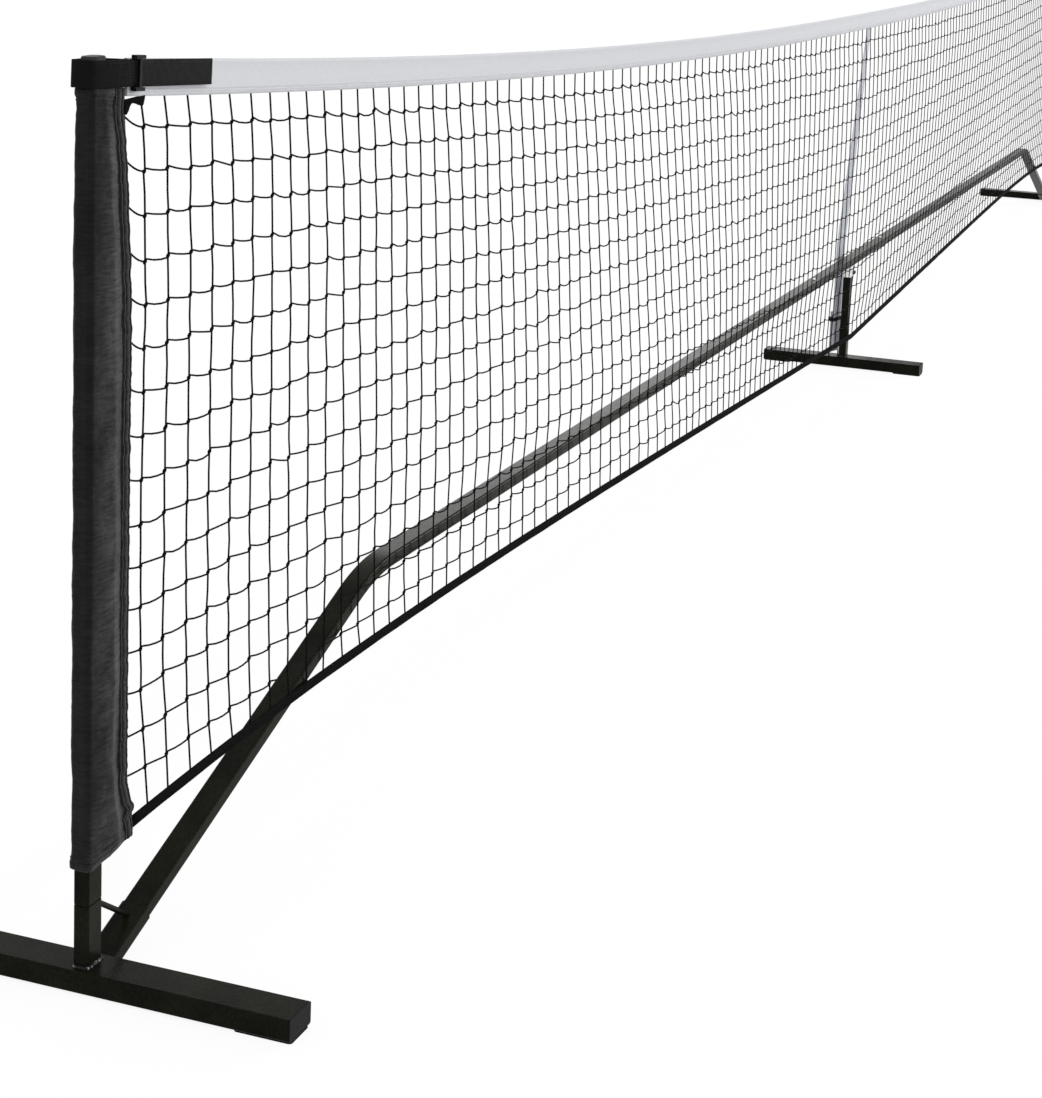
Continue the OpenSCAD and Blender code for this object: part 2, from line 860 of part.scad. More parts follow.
module post_strap() {
    a = tube_w / 2 + 1 + web_t / 2;
    b = tube_t / 2 + 0.5 + web_t / 2;
    outer = a + 0.6 * web_slack;
    back = b + web_slack;
    turn = 2.4;
    route = [
        [tail_reach, tail_y], [a + 12, tail_y], [turn - a, -b - 1], [-outer, turn - b], [-outer, back - turn],
        [turn - outer, back], [a - 2, back], [a + 1.4, back - 3], [a + 14, tail_y + web_t + 0.3]
    ];
    color(NET_BLACK)
        on_tail()
            translate([0, 0, -web_w / 2])
                linear_extrude(web_w)
                    polygon(concat(beside(route, web_t / 2), reversed(beside(route, -web_t / 2))));
}

// Two outer bars behind the webbing and a middle bar in front of it, joined by rails
module strap_slider() {
    back = tail_y + web_t / 2 + slider_gap;
    front = tail_y - web_t / 2 - slider_gap;
    opening = web_w + 2 * slider_gap;
    color(BLACK)
        on_tail()
            translate([slider_x, 0, 0]) {
                for (side = [-1, 1])
                    translate([side * (slider_w - slider_bar) / 2, back + slider_t / 2, 0])
                        cube([slider_bar, slider_t, opening + slider_rail], center = true);
                translate([0, front - slider_t / 2, 0])
                    cube([slider_bar, slider_t, opening + slider_rail], center = true);
                for (side = [-1, 1])
                    translate([0, tail_y, side * (opening + slider_rail) / 2])
                        cube([slider_w, back - front + 2 * slider_t, slider_rail], center = true);
            }
}

// ---- Centre strap ----

// Puts children, drawn with the strap's width along X, at the anchor and turned with the strap
module on_anchor() {
    translate([0, anchor_y, 0])
        rotate([0, 0, -cstrap_turn])
            children();
}

// One ring of the leaning strap, which untwists as it rises
function lean_ring(z) =
    let (
        s = min(1, (z - lean_start_h) / (lean_end_h - lean_start_h)),
        turn = cstrap_turn * (1 - s),
        w = cstrap_w / 2,
        d = cstrap_t / 2,
        y = anchor_y + s * (cstrap_top_y + run_y - anchor_y)
    )
    [for (p = [[-w, -d], [w, -d], [w, d], [-w, d]])
        [
            p[0] * cos(turn) + (p[1] - run_y) * sin(turn),
            y - p[0] * sin(turn) + (p[1] - run_y) * cos(turn),
            z
        ]];

module strap_run(y, top) {
    translate([-cstrap_w / 2, y - cstrap_t / 2, anchor_h])
        cube([cstrap_w, cstrap_t, top - anchor_h]);
}

module centre_strap() {
    tail_above = 18;
    color(WHITE) {
        skin([for (z = lean_levels) lean_ring(z)]);
        on_anchor() {
            strap_run(-run_y, lean_start_h);
            strap_run(run_y, cslider_h + tail_above);
            translate([-cstrap_w / 2, 0, anchor_h])
                rotate([0, 90, 0])
                    rotate([0, 0, -90])
                        rotate_extrude(angle = 180)
                            translate([loop_r - cstrap_t, 0])
                                square([cstrap_t, cstrap_w]);
        }
    }
}

// A flat loop round both runs of the strap
module centre_slider() {
    wide = cstrap_w + 1;
    deep = 2 * loop_r + 0.8;
    color(BLACK)
        on_anchor()
            translate([0, 0, cslider_h - cslider_w / 2])
                linear_extrude(cslider_w)
                    difference() {
                        square([wide + 2 * cslider_t, deep + 2 * cslider_t], center = true);
                        square([wide, deep], center = true);
                    }
}

// A wire staple that stands on the middle foot and holds the strap's loop
module strap_anchor() {
    leg_x = cstrap_w / 2 + anchor_d / 2 + 0.3;
    color(BLACK)
        on_anchor() {
            translate([-leg_x, 0, anchor_h])
                rotate([0, 90, 0])
                    cylinder(d = anchor_d, h = 2 * leg_x);
            for (side = [-1, 1]) {
                translate([side * leg_x, 0, foot_top])
                    cylinder(d = anchor_d, h = anchor_rise);
                translate([side * leg_x, 0, anchor_h])
                    sphere(d = anchor_d);
            }
        }
}

// ---- Nodes ----

at_end(false) foot_tube(end_foot_len);  // foot_left
at_end(true) foot_tube(end_foot_len);  // foot_right
foot_tube(centre_foot_len);  // foot_centre
at_end(false) foot_caps(end_foot_len);  // foot_caps_left
at_end(true) foot_caps(end_foot_len);  // foot_caps_right
foot_caps(centre_foot_len);  // foot_caps_centre
at_end(false) foot_pads(end_foot_len);  // foot_pads_left
at_end(true) foot_pads(end_foot_len);  // foot_pads_right
foot_pads(centre_foot_len);  // foot_pads_centre
at_end(false) upright_stub();  // upright_stub_left
at_end(true) upright_stub();  // upright_stub_right
at_end(false) angled_stub();  // angled_stub_left
at_end(true) angled_stub();  // angled_stub_right
at_end(false) brace_rod();  // brace_rod_left
at_end(true) brace_rod();  // brace_rod_right
weld_beads();
at_end(false) post();  // post_left
at_end(true) post();  // post_right
at_end(false) post_spigot();  // post_spigot_left
at_end(true) post_spigot();  // post_spigot_right
at_end(false) post_cap();  // post_cap_left
at_end(true) post_cap();  // post_cap_right
at_end(false) end_tube();  // end_tube_left
at_end(true) end_tube();  // end_tube_right
on_side(false) level_tube(mid_joint_x, outer_joint_x);  // outer_bar_left
on_side(true) level_tube(mid_joint_x, outer_joint_x);  // outer_bar_right
on_side(false) inner_bar();  // inner_bar_left
on_side(true) inner_bar();  // inner_bar_right
on_side(false) insert(outer_joint_x);  // outer_insert_left
on_side(true) insert(outer_joint_x);  // outer_insert_right
on_side(false) insert(mid_joint_x);  // mid_insert_left
on_side(true) insert(mid_joint_x);  // mid_insert_right
on_side(false) tee_insert();  // tee_insert_left
on_side(true) tee_insert();  // tee_insert_right
tee_bar();
tee_leg();
upright_tube(foot_top, upright_top);  // centre_upright
net_hook();
strap_anchor();
on_side(false) snap_button();  // snap_button_left
on_side(true) snap_button();  // snap_button_right
on_side(false) button_spring();  // button_spring_left
on_side(true) button_spring();  // button_spring_right
net_mesh();
top_band();
top_cord();
bottom_tape();
at_end(false) sleeve();  // sleeve_left
at_end(true) sleeve();  // sleeve_right
at_end(false) corner_tab();  // corner_tab_left
at_end(true) corner_tab();  // corner_tab_right
at_end(false) post_strap();  // post_strap_left
at_end(true) post_strap();  // post_strap_right
at_end(false) strap_slider();  // strap_slider_left
at_end(true) strap_slider();  // strap_slider_right
centre_strap();
centre_slider();
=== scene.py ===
"""A portable pickleball net in Blender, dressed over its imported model.

Lengths are in millimetres, as in the part's source, and mesh_object turns them into metres.
X runs along the net, Y across it (the net hangs on the -Y side), Z up.
"""

import math

import bmesh
import bpy
import numpy as np
from mathutils import Matrix, Vector, noise


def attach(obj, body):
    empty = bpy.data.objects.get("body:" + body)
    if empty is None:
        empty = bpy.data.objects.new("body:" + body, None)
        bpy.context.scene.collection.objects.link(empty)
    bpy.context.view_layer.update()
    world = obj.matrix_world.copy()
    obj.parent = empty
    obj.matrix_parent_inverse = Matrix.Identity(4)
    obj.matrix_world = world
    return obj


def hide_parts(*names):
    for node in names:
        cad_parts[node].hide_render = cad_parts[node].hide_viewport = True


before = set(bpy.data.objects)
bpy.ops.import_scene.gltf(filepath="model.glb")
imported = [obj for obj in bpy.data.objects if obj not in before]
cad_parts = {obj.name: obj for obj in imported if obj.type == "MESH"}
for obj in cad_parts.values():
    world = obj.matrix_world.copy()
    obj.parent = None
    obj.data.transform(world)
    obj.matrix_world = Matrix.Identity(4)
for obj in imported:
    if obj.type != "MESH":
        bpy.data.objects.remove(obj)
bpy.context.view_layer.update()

MM = 0.001
SIDES = {"left": -1, "right": 1}

# ---- Sizes ----

# The frame, as in the part's source
HALF_SPAN = 3353.0
TUBE_W = 27.5
TUBE_T = 17.0
TUBE_R = 3.0
FOOT_TOP = 25.5

# The net's plane and its top edge, also as in the source
NET_Y = -16.0
NET_HALF = HALF_SPAN - 63
NET_H_POST = 914.4
NET_H_CENTRE = 827.0
TOP_CURVE = 2.4
END_SLOPE = math.atan(2 * (NET_H_POST - NET_H_CENTRE) / NET_HALF)

# The strings and knots
NET_COLUMNS = 148
NET_ROWS = 16
STRING_D = 2.1
COLUMN_INSET = 1.0
FIRST_ROW_DROP = 30.0
LAST_ROW_RISE = 26.0
LAST_ROW_END = 14.0
LAST_ROW_REACH = 350.0
# Half a knot along X and along Z, where its strings leave it
KNOT_X = 3.0
KNOT_Z = 3.0
# Stations along a knot's lump, as (x, z, radius)
KNOT_LUMP = ((-2.6, -2.0, 0.7), (-1.1, -0.9, 1.9), (1.1, 0.9, 1.9), (2.6, 2.0, 0.7))
# How far the strings run up into the band and down into the tape
INTO_BAND = 8.0
INTO_TAPE = 3.0

# How uneven the knots are along X and Z: a slow drift, and a jitter from one knot to the next
DRIFT_X, DRIFT_Z = 2.2, 2.5
JITTER_X, JITTER_Z = 0.7, 1.1
# Means and spreads of what differs from string to string
KNOT_STEP = (3.8, 1.3)
STRING_DIP = (1.2, 0.8)
KNOT_JOG = (0.4, 0.5)
KNOT_SIZE = (1.0, 0.12)
COLUMN_BEND = (0, 0.4)
TOP_SHIFT = (0, 1.2)
FOOT_SHIFT = (7, 2)
SIDE_JITTER = (0, 0.8)

# How far the net bulges, how its columns lean on the way down, and how they fall back below the crossbar
BILLOW = 8.0
BILLOW_REACH = 250.0
LEAN = 72.0
LEAN_REACH = 1600.0
FOOT_LEAN = 14.0
LEAN_BACK = 16.0
BAR_START = 500.0
BAR_DOWN = 0.83
TOP_LEAN = 7.5
TOP_LEAN_REACH = 500.0
# How far the sleeve's seam pulls the first columns towards the middle, as (height, pull)
SEAM_PULL = ((180, 3), (300, -2), (410, 0), (540, 3), (650, 7), (765, 4), (853, 0))
SEAM_PULL_REACH = 90.0
# How far the side strings drop from the seam: everywhere, and more above this share of the way down
SIDE_DROP = 3.0
SIDE_DROP_TOP = 12.0
SIDE_DROP_TO = 0.42

# The band with its cord, and the tape
BAND_HALF = HALF_SPAN - TUBE_W / 2 - 17
BAND_W = 36.0
BAND_T = 5.2
BAND_HEM = 2.1
BAND_CLOTH = 0.9
CORD_R = 1.45
CORD_DROP = 2.5
CORD_INSET = 8.0
TAPE_W = 12.0
TAPE_FOLD_R = 1.2
TAPE_BULGE = 1.5
TAPE_HEM = 1.4
TAPE_CLOTH = 0.7
TAPE_HOLLOW = 0.45
TAPE_H_CENTRE = 80.0
TAPE_RISE = 127.0
TAPE_DROOP = 47.0
DROOP_CURVE = 6.4

# The sleeve's seam: its reach from the post, narrow over NECK_LENGTH at the top and wider at FLARE_AT, which
# are shares of its length, as is FLARE_LENGTH
SEAM_EDGE = 44.0
SEAM_NECK = 17.0
NECK_LENGTH = 0.155
SEAM_FLARE = 10.5
FLARE_AT = 0.972
FLARE_LENGTH = 0.035
# The sleeve's edges at the post's outer side and at the seam
SLEEVE_TOP_H = 889.3
SEAM_TOP_H = 887.8
SLEEVE_HEM_H = 129.0
HEM_RISE = 5.0
SEAM_HEM_H = 141.0
SEAM_LENGTH = SEAM_TOP_H - SEAM_HEM_H
SLEEVE_GAP = 0.5
SLEEVE_CLOTH = 1.0
# Points along its section: to the post, along its back, along its outer side, along the front
SLEEVE_POINTS = (15, 11, 8, 26)
# Its hem: how deep it is turned in, and the row of stitches that pinches it
HEM_TURN = 11.0
HEM_PUFF = 0.65
HEM_STITCH = 8.5
HEM_PINCH = 0.9
# How far the cloth stands off in front and behind, and the length of the gathers at its top
BELLY = 3.4
BELLY_LOW = 2.8
SLACK_BEHIND = 1.6
GATHER = 0.06

# Where the seam's edge is pushed out or pulled in, as (height, spread, how far)
SEAM_KINKS = ((868, 14, -3.5), (640, 60, 2.0), (171, 5, 4.0), (163, 2.5, -5.0))
# The binding's section in front, as (along from the seam's edge, out, puckers, puffs), with grooves where it
# is stitched, and behind, as (along, out)
BINDING_FRONT = (
    (15.0, -0.2, 0, 0),
    (14.5, 2.8, 0, 0),
    (12.8, 3.0, 0, 0),
    (12.0, 0.9, 0, 0),
    (11.2, 2.8, 0, 0),
    (9.8, 2.4, 1.4, 0),
    (7.0, 2.6, 0, 1.2),
    (5.4, 2.6, 0, 0),
    (4.6, 0.6, 0, 0),
    (3.8, 2.5, 0, 0),
    (2.4, 2.2, 0, 0.9),
    (0.4, 1.3, 0, 0),
    (-0.6, 0, 0, 0),
)
BINDING_BACK = ((0.6, 1.4), (5.0, 1.7), (7.5, 1.4), (8.0, 0.3))
BINDING_STEP = 1.6
BINDING_PITCH = 1.6

# The corner patch, as (from the post, down from the band)
PATCH = (
    (27, 0), (27, 14), (30, 15), (33, 12), (35, 8), (39, 5), (46, 6), (56, 9.5), (61, 10), (63, 6), (65, 0)
)
PATCH_X = 50.0
PATCH_SLOPE = 0.052

# The strap round a post
WEB_W = 26.0
WEB_T = 1.4
WEB_SLACK = 4.2
WEB_MID_H = NET_H_POST - WEB_W / 2 + 2.8
TAIL_Y = NET_Y - 6.6
TAIL_REACH = 187.0

# The centre strap: it leans from the anchor to the band between two heights, and its tail ends at a third
CSTRAP_W = 40.0
CSTRAP_T = 1.4
CSTRAP_TURN = math.radians(15)
ANCHOR_Y = 23.0
ANCHOR_H = 37.5
RUN_Y = 2.4
LEAN_START_H = 290.0
LEAN_END_H = 787.0
CSTRAP_TOP_H = 821.0
CSTRAP_TOP_Y = NET_Y + BAND_T / 2 + CSTRAP_T / 2 + 0.5
CSTRAP_TAIL_H = 130.0

WELD_R = 2.3

# ---- Finishes' common values ----

STITCH = 4.0
SHEEN_ROUGHNESS = 0.4

# ---- Light ----

# Lamps as (direction they shine in, strength, angle in degrees)
SUNS = {
    "key": ((-0.84, 0.52, -0.16), 1.0, 24),
    "front": ((0.13, 0.78, -0.61), 0.5, 8),
    "rim": ((-0.90, -0.35, -0.25), 0.1, 18),
    "top": ((0.10, 0.15, -1.0), 0.4, 60),
}
AMBIENT = 0.52
# How much of the floor's look is its own white, and how bright that white is
FLOOR_GLOW_SHARE = 0.86
FLOOR_GLOW = 1.055

rng = np.random.default_rng(22)


# ---- Curves and noise ----
def band_top(x):
    """Height of the band's top edge."""
    return NET_H_CENTRE + (NET_H_POST - NET_H_CENTRE) * (np.abs(x) / NET_HALF) ** TOP_CURVE


def band_low(x):
    return band_top(x) - BAND_W


def tape_top(x):
    """Height of the bottom tape's top edge."""
    share = np.abs(x) / NET_HALF
    return TAPE_H_CENTRE + TAPE_RISE * share - TAPE_DROOP * share**DROOP_CURVE


def seam_reach(z):
    """Distance from the post's centre line to the sleeve's seam: narrow at the top, wide above the hem."""
    fall = np.maximum(SEAM_TOP_H - z, 0) / SEAM_LENGTH
    neck = SEAM_NECK * np.exp(-((fall / NECK_LENGTH) ** 1.6))
    flare = SEAM_FLARE * np.exp(-(((np.minimum(fall, FLARE_AT) - FLARE_AT) / FLARE_LENGTH) ** 2))
    return SEAM_EDGE - neck + flare


def ripple(points, size, seed=0.0):
    """Smooth noise from -1 to 1 at points in millimetres; size is the length of a ripple on each axis."""
    flat = np.asarray(points, float).reshape(-1, 3) / np.asarray(size, float)
    shift = Vector((seed, seed * 1.7, -seed))
    made = [noise.noise(Vector(p) + shift) for p in flat.tolist()]
    return np.array(made).reshape(np.asarray(points).shape[:-1])


# ---- Meshes ----


def mesh_object(name, points, faces, finish, cloth=None):
    """A smooth object with its faces turned outward; cloth holds each point's place on the flat cloth."""
    mesh = bpy.data.meshes.new(name)
    mesh.from_pydata((np.asarray(points).reshape(-1, 3) * MM).tolist(), [], faces)
    shell = bmesh.new()
    shell.from_mesh(mesh)
    bmesh.ops.recalc_face_normals(shell, faces=shell.faces)
    shell.to_mesh(mesh)
    shell.free()
    mesh.shade_smooth()
    if cloth is not None:
        laid = mesh.attributes.new("cloth", "FLOAT_VECTOR", "POINT")
        laid.data.foreach_set("vector", (np.asarray(cloth) * MM).astype(np.float32).ravel())
    mesh.materials.append(finish)
    made = bpy.data.objects.new(name, mesh)
    bpy.context.scene.collection.objects.link(made)
    return made


def grid_faces(rows, columns, start=0, around=False):
    """Quads between rows of points; around joins each row's last point to its first."""
    index = start + np.arange(rows * columns).reshape(rows, columns)
    if around:
        index = np.concatenate([index, index[:, :1]], axis=1)
    corners = [index[:-1, :-1], index[:-1, 1:], index[1:, 1:], index[1:, :-1]]
    return np.stack(corners, -1).reshape(-1, 4).tolist()


def tubes(paths, radius, sides=5):
    """Points and faces of round tubes along paths of shape (count, steps, 3)."""
    paths = np.asarray(paths, float)
    along = np.gradient(paths, axis=1)
    along /= np.linalg.norm(along, axis=-1, keepdims=True)
    across = np.cross(along, [0.0, 1.0, 0.0])
    across /= np.linalg.norm(across, axis=-1, keepdims=True)
    out = np.cross(across, along)
    turn = 2 * np.pi * np.arange(sides) / sides
    ring = across[:, :, None] * np.cos(turn)[:, None] + out[:, :, None] * np.sin(turn)[:, None]
    reach = np.broadcast_to(radius, paths.shape[:2])[:, :, None, None]
    points = paths[:, :, None] + reach * ring
    count, steps = paths.shape[:2]
    index = np.arange(count * steps * sides).reshape(count, steps, sides)
    here, there = index[:, :-1], index[:, 1:]
    corners = [here, np.roll(here, -1, 2), np.roll(there, -1, 2), there]
    return points.reshape(-1, 3), np.stack(corners, -1).reshape(-1, 4)


def joined(parts):
    """Several (points, faces) pairs as one."""
    points, faces, start = [], [], 0
    for p, f in parts:
        points.append(p)
        faces.append(np.asarray(f) + start)
        start += len(p)
    return np.concatenate(points), np.concatenate(faces).tolist()


def rounded(route, rounds=2):
    """A polyline with its corners cut off a few times."""
    route = np.asarray(route, float)
    for _ in range(rounds):
        near = route[:-1] * 0.75 + route[1:] * 0.25
        far = route[:-1] * 0.25 + route[1:] * 0.75
        inner = np.stack([near, far], 1).reshape(-1, route.shape[1])
        route = np.concatenate([route[:1], inner, route[-1:]])
    return route


def respaced(route, step):
    """A polyline with points at an even spacing."""
    length = np.concatenate([[0], np.cumsum(np.linalg.norm(np.diff(route, axis=0), axis=1))])
    even = np.linspace(0, length[-1], int(length[-1] / step) + 2)
    return np.stack([np.interp(even, length, route[:, k]) for k in range(route.shape[1])], 1)


def webbing(name, route, across, width, thick, finish):
    """A flat strap with rounded edges along a route; across is the direction of its width at each point."""
    route, across = np.asarray(route, float), np.asarray(across, float)
    along = np.gradient(route, axis=0)
    along /= np.linalg.norm(along, axis=1, keepdims=True)
    face = np.cross(along, across)
    face /= np.linalg.norm(face, axis=1, keepdims=True)
    w, t = width / 2, thick / 2
    edge = [(w - t, -t), (w - 0.3 * t, -0.7 * t), (w, 0), (w - 0.3 * t, 0.7 * t), (w - t, t)]
    spans = [(w * s, t) for s in (0.6, 0.2, -0.2, -0.6)]
    section = edge + spans + [(-p, -q) for p, q in edge + spans]
    points = [route + across * p + face * q for p, q in section]
    points = np.stack(points, 1)
    steps, n = points.shape[:2]
    far = np.concatenate([[0], np.cumsum(np.linalg.norm(np.diff(route, axis=0), axis=1))])
    cloth = np.zeros((steps, n, 3))
    cloth[:, :, 0] = far[:, None]
    cloth[:, :, 1] = [p for p, _ in section]
    faces = grid_faces(steps, n, around=True)
    faces += [list(range(n))[::-1], [(steps - 1) * n + k for k in range(n)]]
    return mesh_object(name, points, faces, finish, cloth.reshape(-1, 3))


# ---- Finishes ----


class Finish:
    """A Principled material whose colour, roughness and bump come from procedural nodes."""

    def __init__(self, name, colour, roughness, **sockets):
        self.material = bpy.data.materials.new(name)
        self.material.use_nodes = True
        self.tree = self.material.node_tree
        self.shader = self.tree.nodes["Principled BSDF"]
        self.shader.inputs["Base Color"].default_value = (*colour, 1)
        self.shader.inputs["Roughness"].default_value = roughness
        for socket, value in sockets.items():
            self.shader.inputs[socket.replace("_", " ")].default_value = value
        self.bumped = None

    def node(self, kind, inputs, **settings):
        made = self.tree.nodes.new(kind)
        for key, value in settings.items():
            setattr(made, key, value)
        for key, value in inputs.items():
            if isinstance(value, bpy.types.NodeSocket):
                self.tree.links.new(value, made.inputs[key])
            else:
                made.inputs[key].default_value = value
        return made

    def scaled(self, vector, scale):
        node = self.node("ShaderNodeVectorMath", {0: vector, 1: scale}, operation="MULTIPLY")
        return node.outputs[0]

    def place(self):
        """Position on the object in millimetres."""
        return self.scaled(self.node("ShaderNodeTexCoord", {}).outputs["Object"], (1000,) * 3)

    def laid(self):
        """Position on the flat cloth in millimetres: along, across, and from the stitched edge."""
        cloth = self.node("ShaderNodeAttribute", {}, attribute_name="cloth")
        return self.scaled(cloth.outputs["Vector"], (1000,) * 3)

    def noise(self, vector, size, detail=2.0, stretch=(1, 1, 1)):
        """Noise from 0 to 1 whose grains are size millimetres wide, times stretch."""
        scale = tuple(1 / (size * s) for s in stretch)
        inputs = {"Vector": self.scaled(vector, scale), "Scale": 1.0, "Detail": detail}
        return self.node("ShaderNodeTexNoise", inputs).outputs["Fac"]

    def wave(self, vector, period, axis, distortion=0.0):
        """A sine from 0 to 1 with a period in millimetres along one axis."""
        inputs = {"Vector": vector, "Scale": math.pi / 10 / period, "Distortion": distortion}
        return self.node("ShaderNodeTexWave", inputs, bands_direction=axis).outputs["Fac"]

    def math(self, operation, a, b=0.0, c=0.0):
        return self.node("ShaderNodeMath", {0: a, 1: b, 2: c}, operation=operation).outputs[0]

    def remap(self, value, low, high, to_low, to_high):
        inputs = {"Value": value, "From Min": low, "From Max": high}
        inputs.update({"To Min": to_low, "To Max": to_high})
        return self.node("ShaderNodeMapRange", inputs).outputs[0]

    def colours(self, share, first, second):
        """Base colour that goes from one colour to another as share goes from 0 to 1."""
        inputs = {"Factor": share, "A": (*first, 1), "B": (*second, 1)}
        mixed = self.node("ShaderNodeMix", inputs, data_type="RGBA")
        self.tree.links.new(mixed.outputs["Result"], self.shader.inputs["Base Color"])

    def rough(self, share, low, high):
        self.tree.links.new(self.remap(share, 0, 1, low, high), self.shader.inputs["Roughness"])

    def bump(self, height, depth, strength=1.0):
        """Adds a bump of depth millimetres."""
        inputs = {"Height": height, "Distance": depth * MM, "Strength": strength}
        if self.bumped:
            inputs["Normal"] = self.bumped
        self.bumped = self.node("ShaderNodeBump", inputs).outputs[0]
        self.tree.links.new(self.bumped, self.shader.inputs["Normal"])


def grey(value, warm=0.0):
    """A near-neutral colour, a little olive where warm is above 0."""
    return (value, value, value * (1 - warm))


def powder_coat(name, dark, light, roughness):
    """Powder-coated steel: orange peel, faint mottling and small rubbed spots."""
    made = Finish(name, grey(dark, 0.08), roughness, Specular_IOR_Level=0.03)
    place = made.place()
    grain = made.math("MULTIPLY", made.noise(place, 45, 3), made.noise(place, 3, 3))
    made.colours(made.remap(grain, 0.12, 0.4, 0, 1), grey(dark, 0.25), grey(light, 0.4))
    made.rough(made.noise(place, 18, 4), roughness - 0.08, roughness + 0.1)
    made.bump(made.noise(place, 1.4, 2), 0.09)
    made.bump(made.noise(place, 70, 2), 0.5, 0.4)
    return made.material


def plated(name):
    """Bright zinc plating with fine drawing lines."""
    made = Finish(name, grey(0.8), 0.3, Metallic=1.0)
    place = made.place()
    made.colours(made.noise(place, 12, 4), grey(0.68), grey(0.9))
    made.rough(made.noise(place, 3, 3, (8, 1, 1)), 0.22, 0.45)
    made.bump(made.noise(place, 0.5, 2, (20, 1, 1)), 0.02)
    return made.material


def weld_metal(name):
    """A weld bead, painted over but with bare grey patches."""
    made = Finish(name, grey(0.02), 0.4, Specular_IOR_Level=0.2)
    place = made.place()
    patches = made.remap(made.noise(place, 5, 4), 0.56, 0.64, 0, 1)
    made.colours(patches, grey(0.006), grey(0.35))
    made.rough(made.noise(place, 2, 2), 0.3, 0.6)
    made.bump(made.noise(place, 1.1, 3), 0.25)
    return made.material


def moulded(name, dark, light, roughness):
    """Moulded plastic or rubber with a fine grain."""
    made = Finish(name, grey(dark), roughness, Specular_IOR_Level=0.05)
    place = made.place()
    made.colours(made.noise(place, 14, 3), grey(dark), grey(light))
    made.rough(made.noise(place, 5, 3), roughness - 0.1, roughness + 0.1)
    made.bump(made.noise(place, 0.6, 2), 0.05)
    return made.material


def twine(name, dark, light):
    """Twisted string: fine fibres over short slanting strands."""
    made = Finish(name, grey(dark), 0.75, Specular_IOR_Level=0.04)
    place = made.place()
    made.colours(made.noise(place, 9, 3), grey(dark), grey(light))
    strands = made.wave(made.scaled(place, (1, 1, 0.7)), 1.6, "DIAGONAL", 1.0)
    made.bump(strands, 0.15)
    made.bump(made.noise(place, 0.4, 2), 0.08)
    return made.material


def stitch_rows(made, laid, rows):
    """0 to 1 on sewn stitches; rows are distances from the stitched edge."""
    parts = made.node("ShaderNodeSeparateXYZ", {0: laid}).outputs
    dash = made.remap(made.wave(laid, STITCH, "X"), 0.25, 0.45, 0, 1)
    lines = None
    for row in rows:
        off = made.math("ABSOLUTE", made.math("SUBTRACT", parts["Z"], row))
        line = made.remap(off, 0.35, 0.7, 1, 0)
        lines = line if lines is None else made.math("MAXIMUM", lines, line)
    return made.math("MULTIPLY", lines, dash)


def woven(name, dark, light, roughness, weave, depth, rows=(), sheen=0.0, crumple=0.0, **sockets):
    """Woven cloth on its own flat coordinates, with rows of stitches and small crumples."""
    made = Finish(name, dark, roughness, Sheen_Weight=sheen, Sheen_Roughness=SHEEN_ROUGHNESS, **sockets)
    laid = made.laid()
    place = made.place()
    made.colours(made.remap(made.noise(laid, 5, 5), 0.3, 0.7, 0, 1), dark, light)
    made.rough(made.noise(laid, 12, 2), roughness - 0.08, roughness + 0.08)
    if crumple:
        made.bump(made.noise(place, 22, 4, (1, 1, 0.5)), crumple)
        made.bump(made.noise(place, 5, 3, (1, 1, 0.4)), crumple * 0.15)
    threads = made.math("MULTIPLY", made.wave(laid, weave, "X"), made.wave(laid, weave * 0.8, "Y"))
    made.bump(threads, depth)
    if rows:
        made.bump(stitch_rows(made, laid, rows), 0.5)
    return made.material


def sleeve_cloth(name):
    """Thin black nylon: a fine weave with wrinkles across it, and a painted sheen of paler streaks where it
    bulges in front.
    """
    rest, painted_sheen_colour = grey(0.002), grey(0.045)
    made = Finish(
        name, rest, 0.42, Specular_IOR_Level=0.1, Sheen_Weight=0.22, Sheen_Roughness=SHEEN_ROUGHNESS
    )
    laid = made.laid()
    place = made.place()
    along = made.node("ShaderNodeSeparateXYZ", {0: laid}).outputs["X"]
    # The front band between these two ramps gets a painted sheen: paler streaks shaped by the wrinkle and
    # crumple noise.
    rising = made.remap(along, 90, 112, 0.2, 1)
    falling = made.remap(along, 128, 138, 1, 0.15)
    front = made.math("MULTIPLY", rising, falling)
    wrinkles = made.noise(place, 4, 4, (3, 3, 0.7))
    crumples = made.noise(place, 26, 3, (1, 1, 1.6))
    painted_sheen_streaks = made.remap(made.math("MULTIPLY", wrinkles, crumples), 0.14, 0.4, 0, 1)
    # Painted sheen: in the front band the colour goes from the cloth's black to a paler grey along the
    # streaks.
    made.colours(made.math("MULTIPLY", front, painted_sheen_streaks), rest, painted_sheen_colour)
    made.rough(made.noise(laid, 12, 2), 0.36, 0.5)
    made.bump(crumples, 2.0)
    made.bump(wrinkles, 0.8)
    weave = made.math("MULTIPLY", made.wave(laid, 0.7, "X"), made.wave(laid, 0.6, "Y"))
    made.bump(weave, 0.05)
    made.bump(stitch_rows(made, laid, (3.5, HEM_STITCH)), 0.5)
    return made.material


def ribbed_webbing(name, dark, light):
    """Heavy webbing: ribs across the strap and finer ones along it."""
    made = Finish(name, grey(dark), 0.6, Specular_IOR_Level=0.05)
    laid = made.laid()
    made.colours(made.noise(laid, 16, 3, (1, 4, 1)), grey(dark), grey(light))
    made.rough(made.noise(laid, 8, 2), 0.5, 0.7)
    made.bump(made.wave(laid, 2.2, "X", 1.2), 0.2)
    made.bump(made.wave(laid, 2.6, "Y", 0.8), 0.12)
    made.bump(made.noise(laid, 2.5, 3), 0.5)
    return made.material


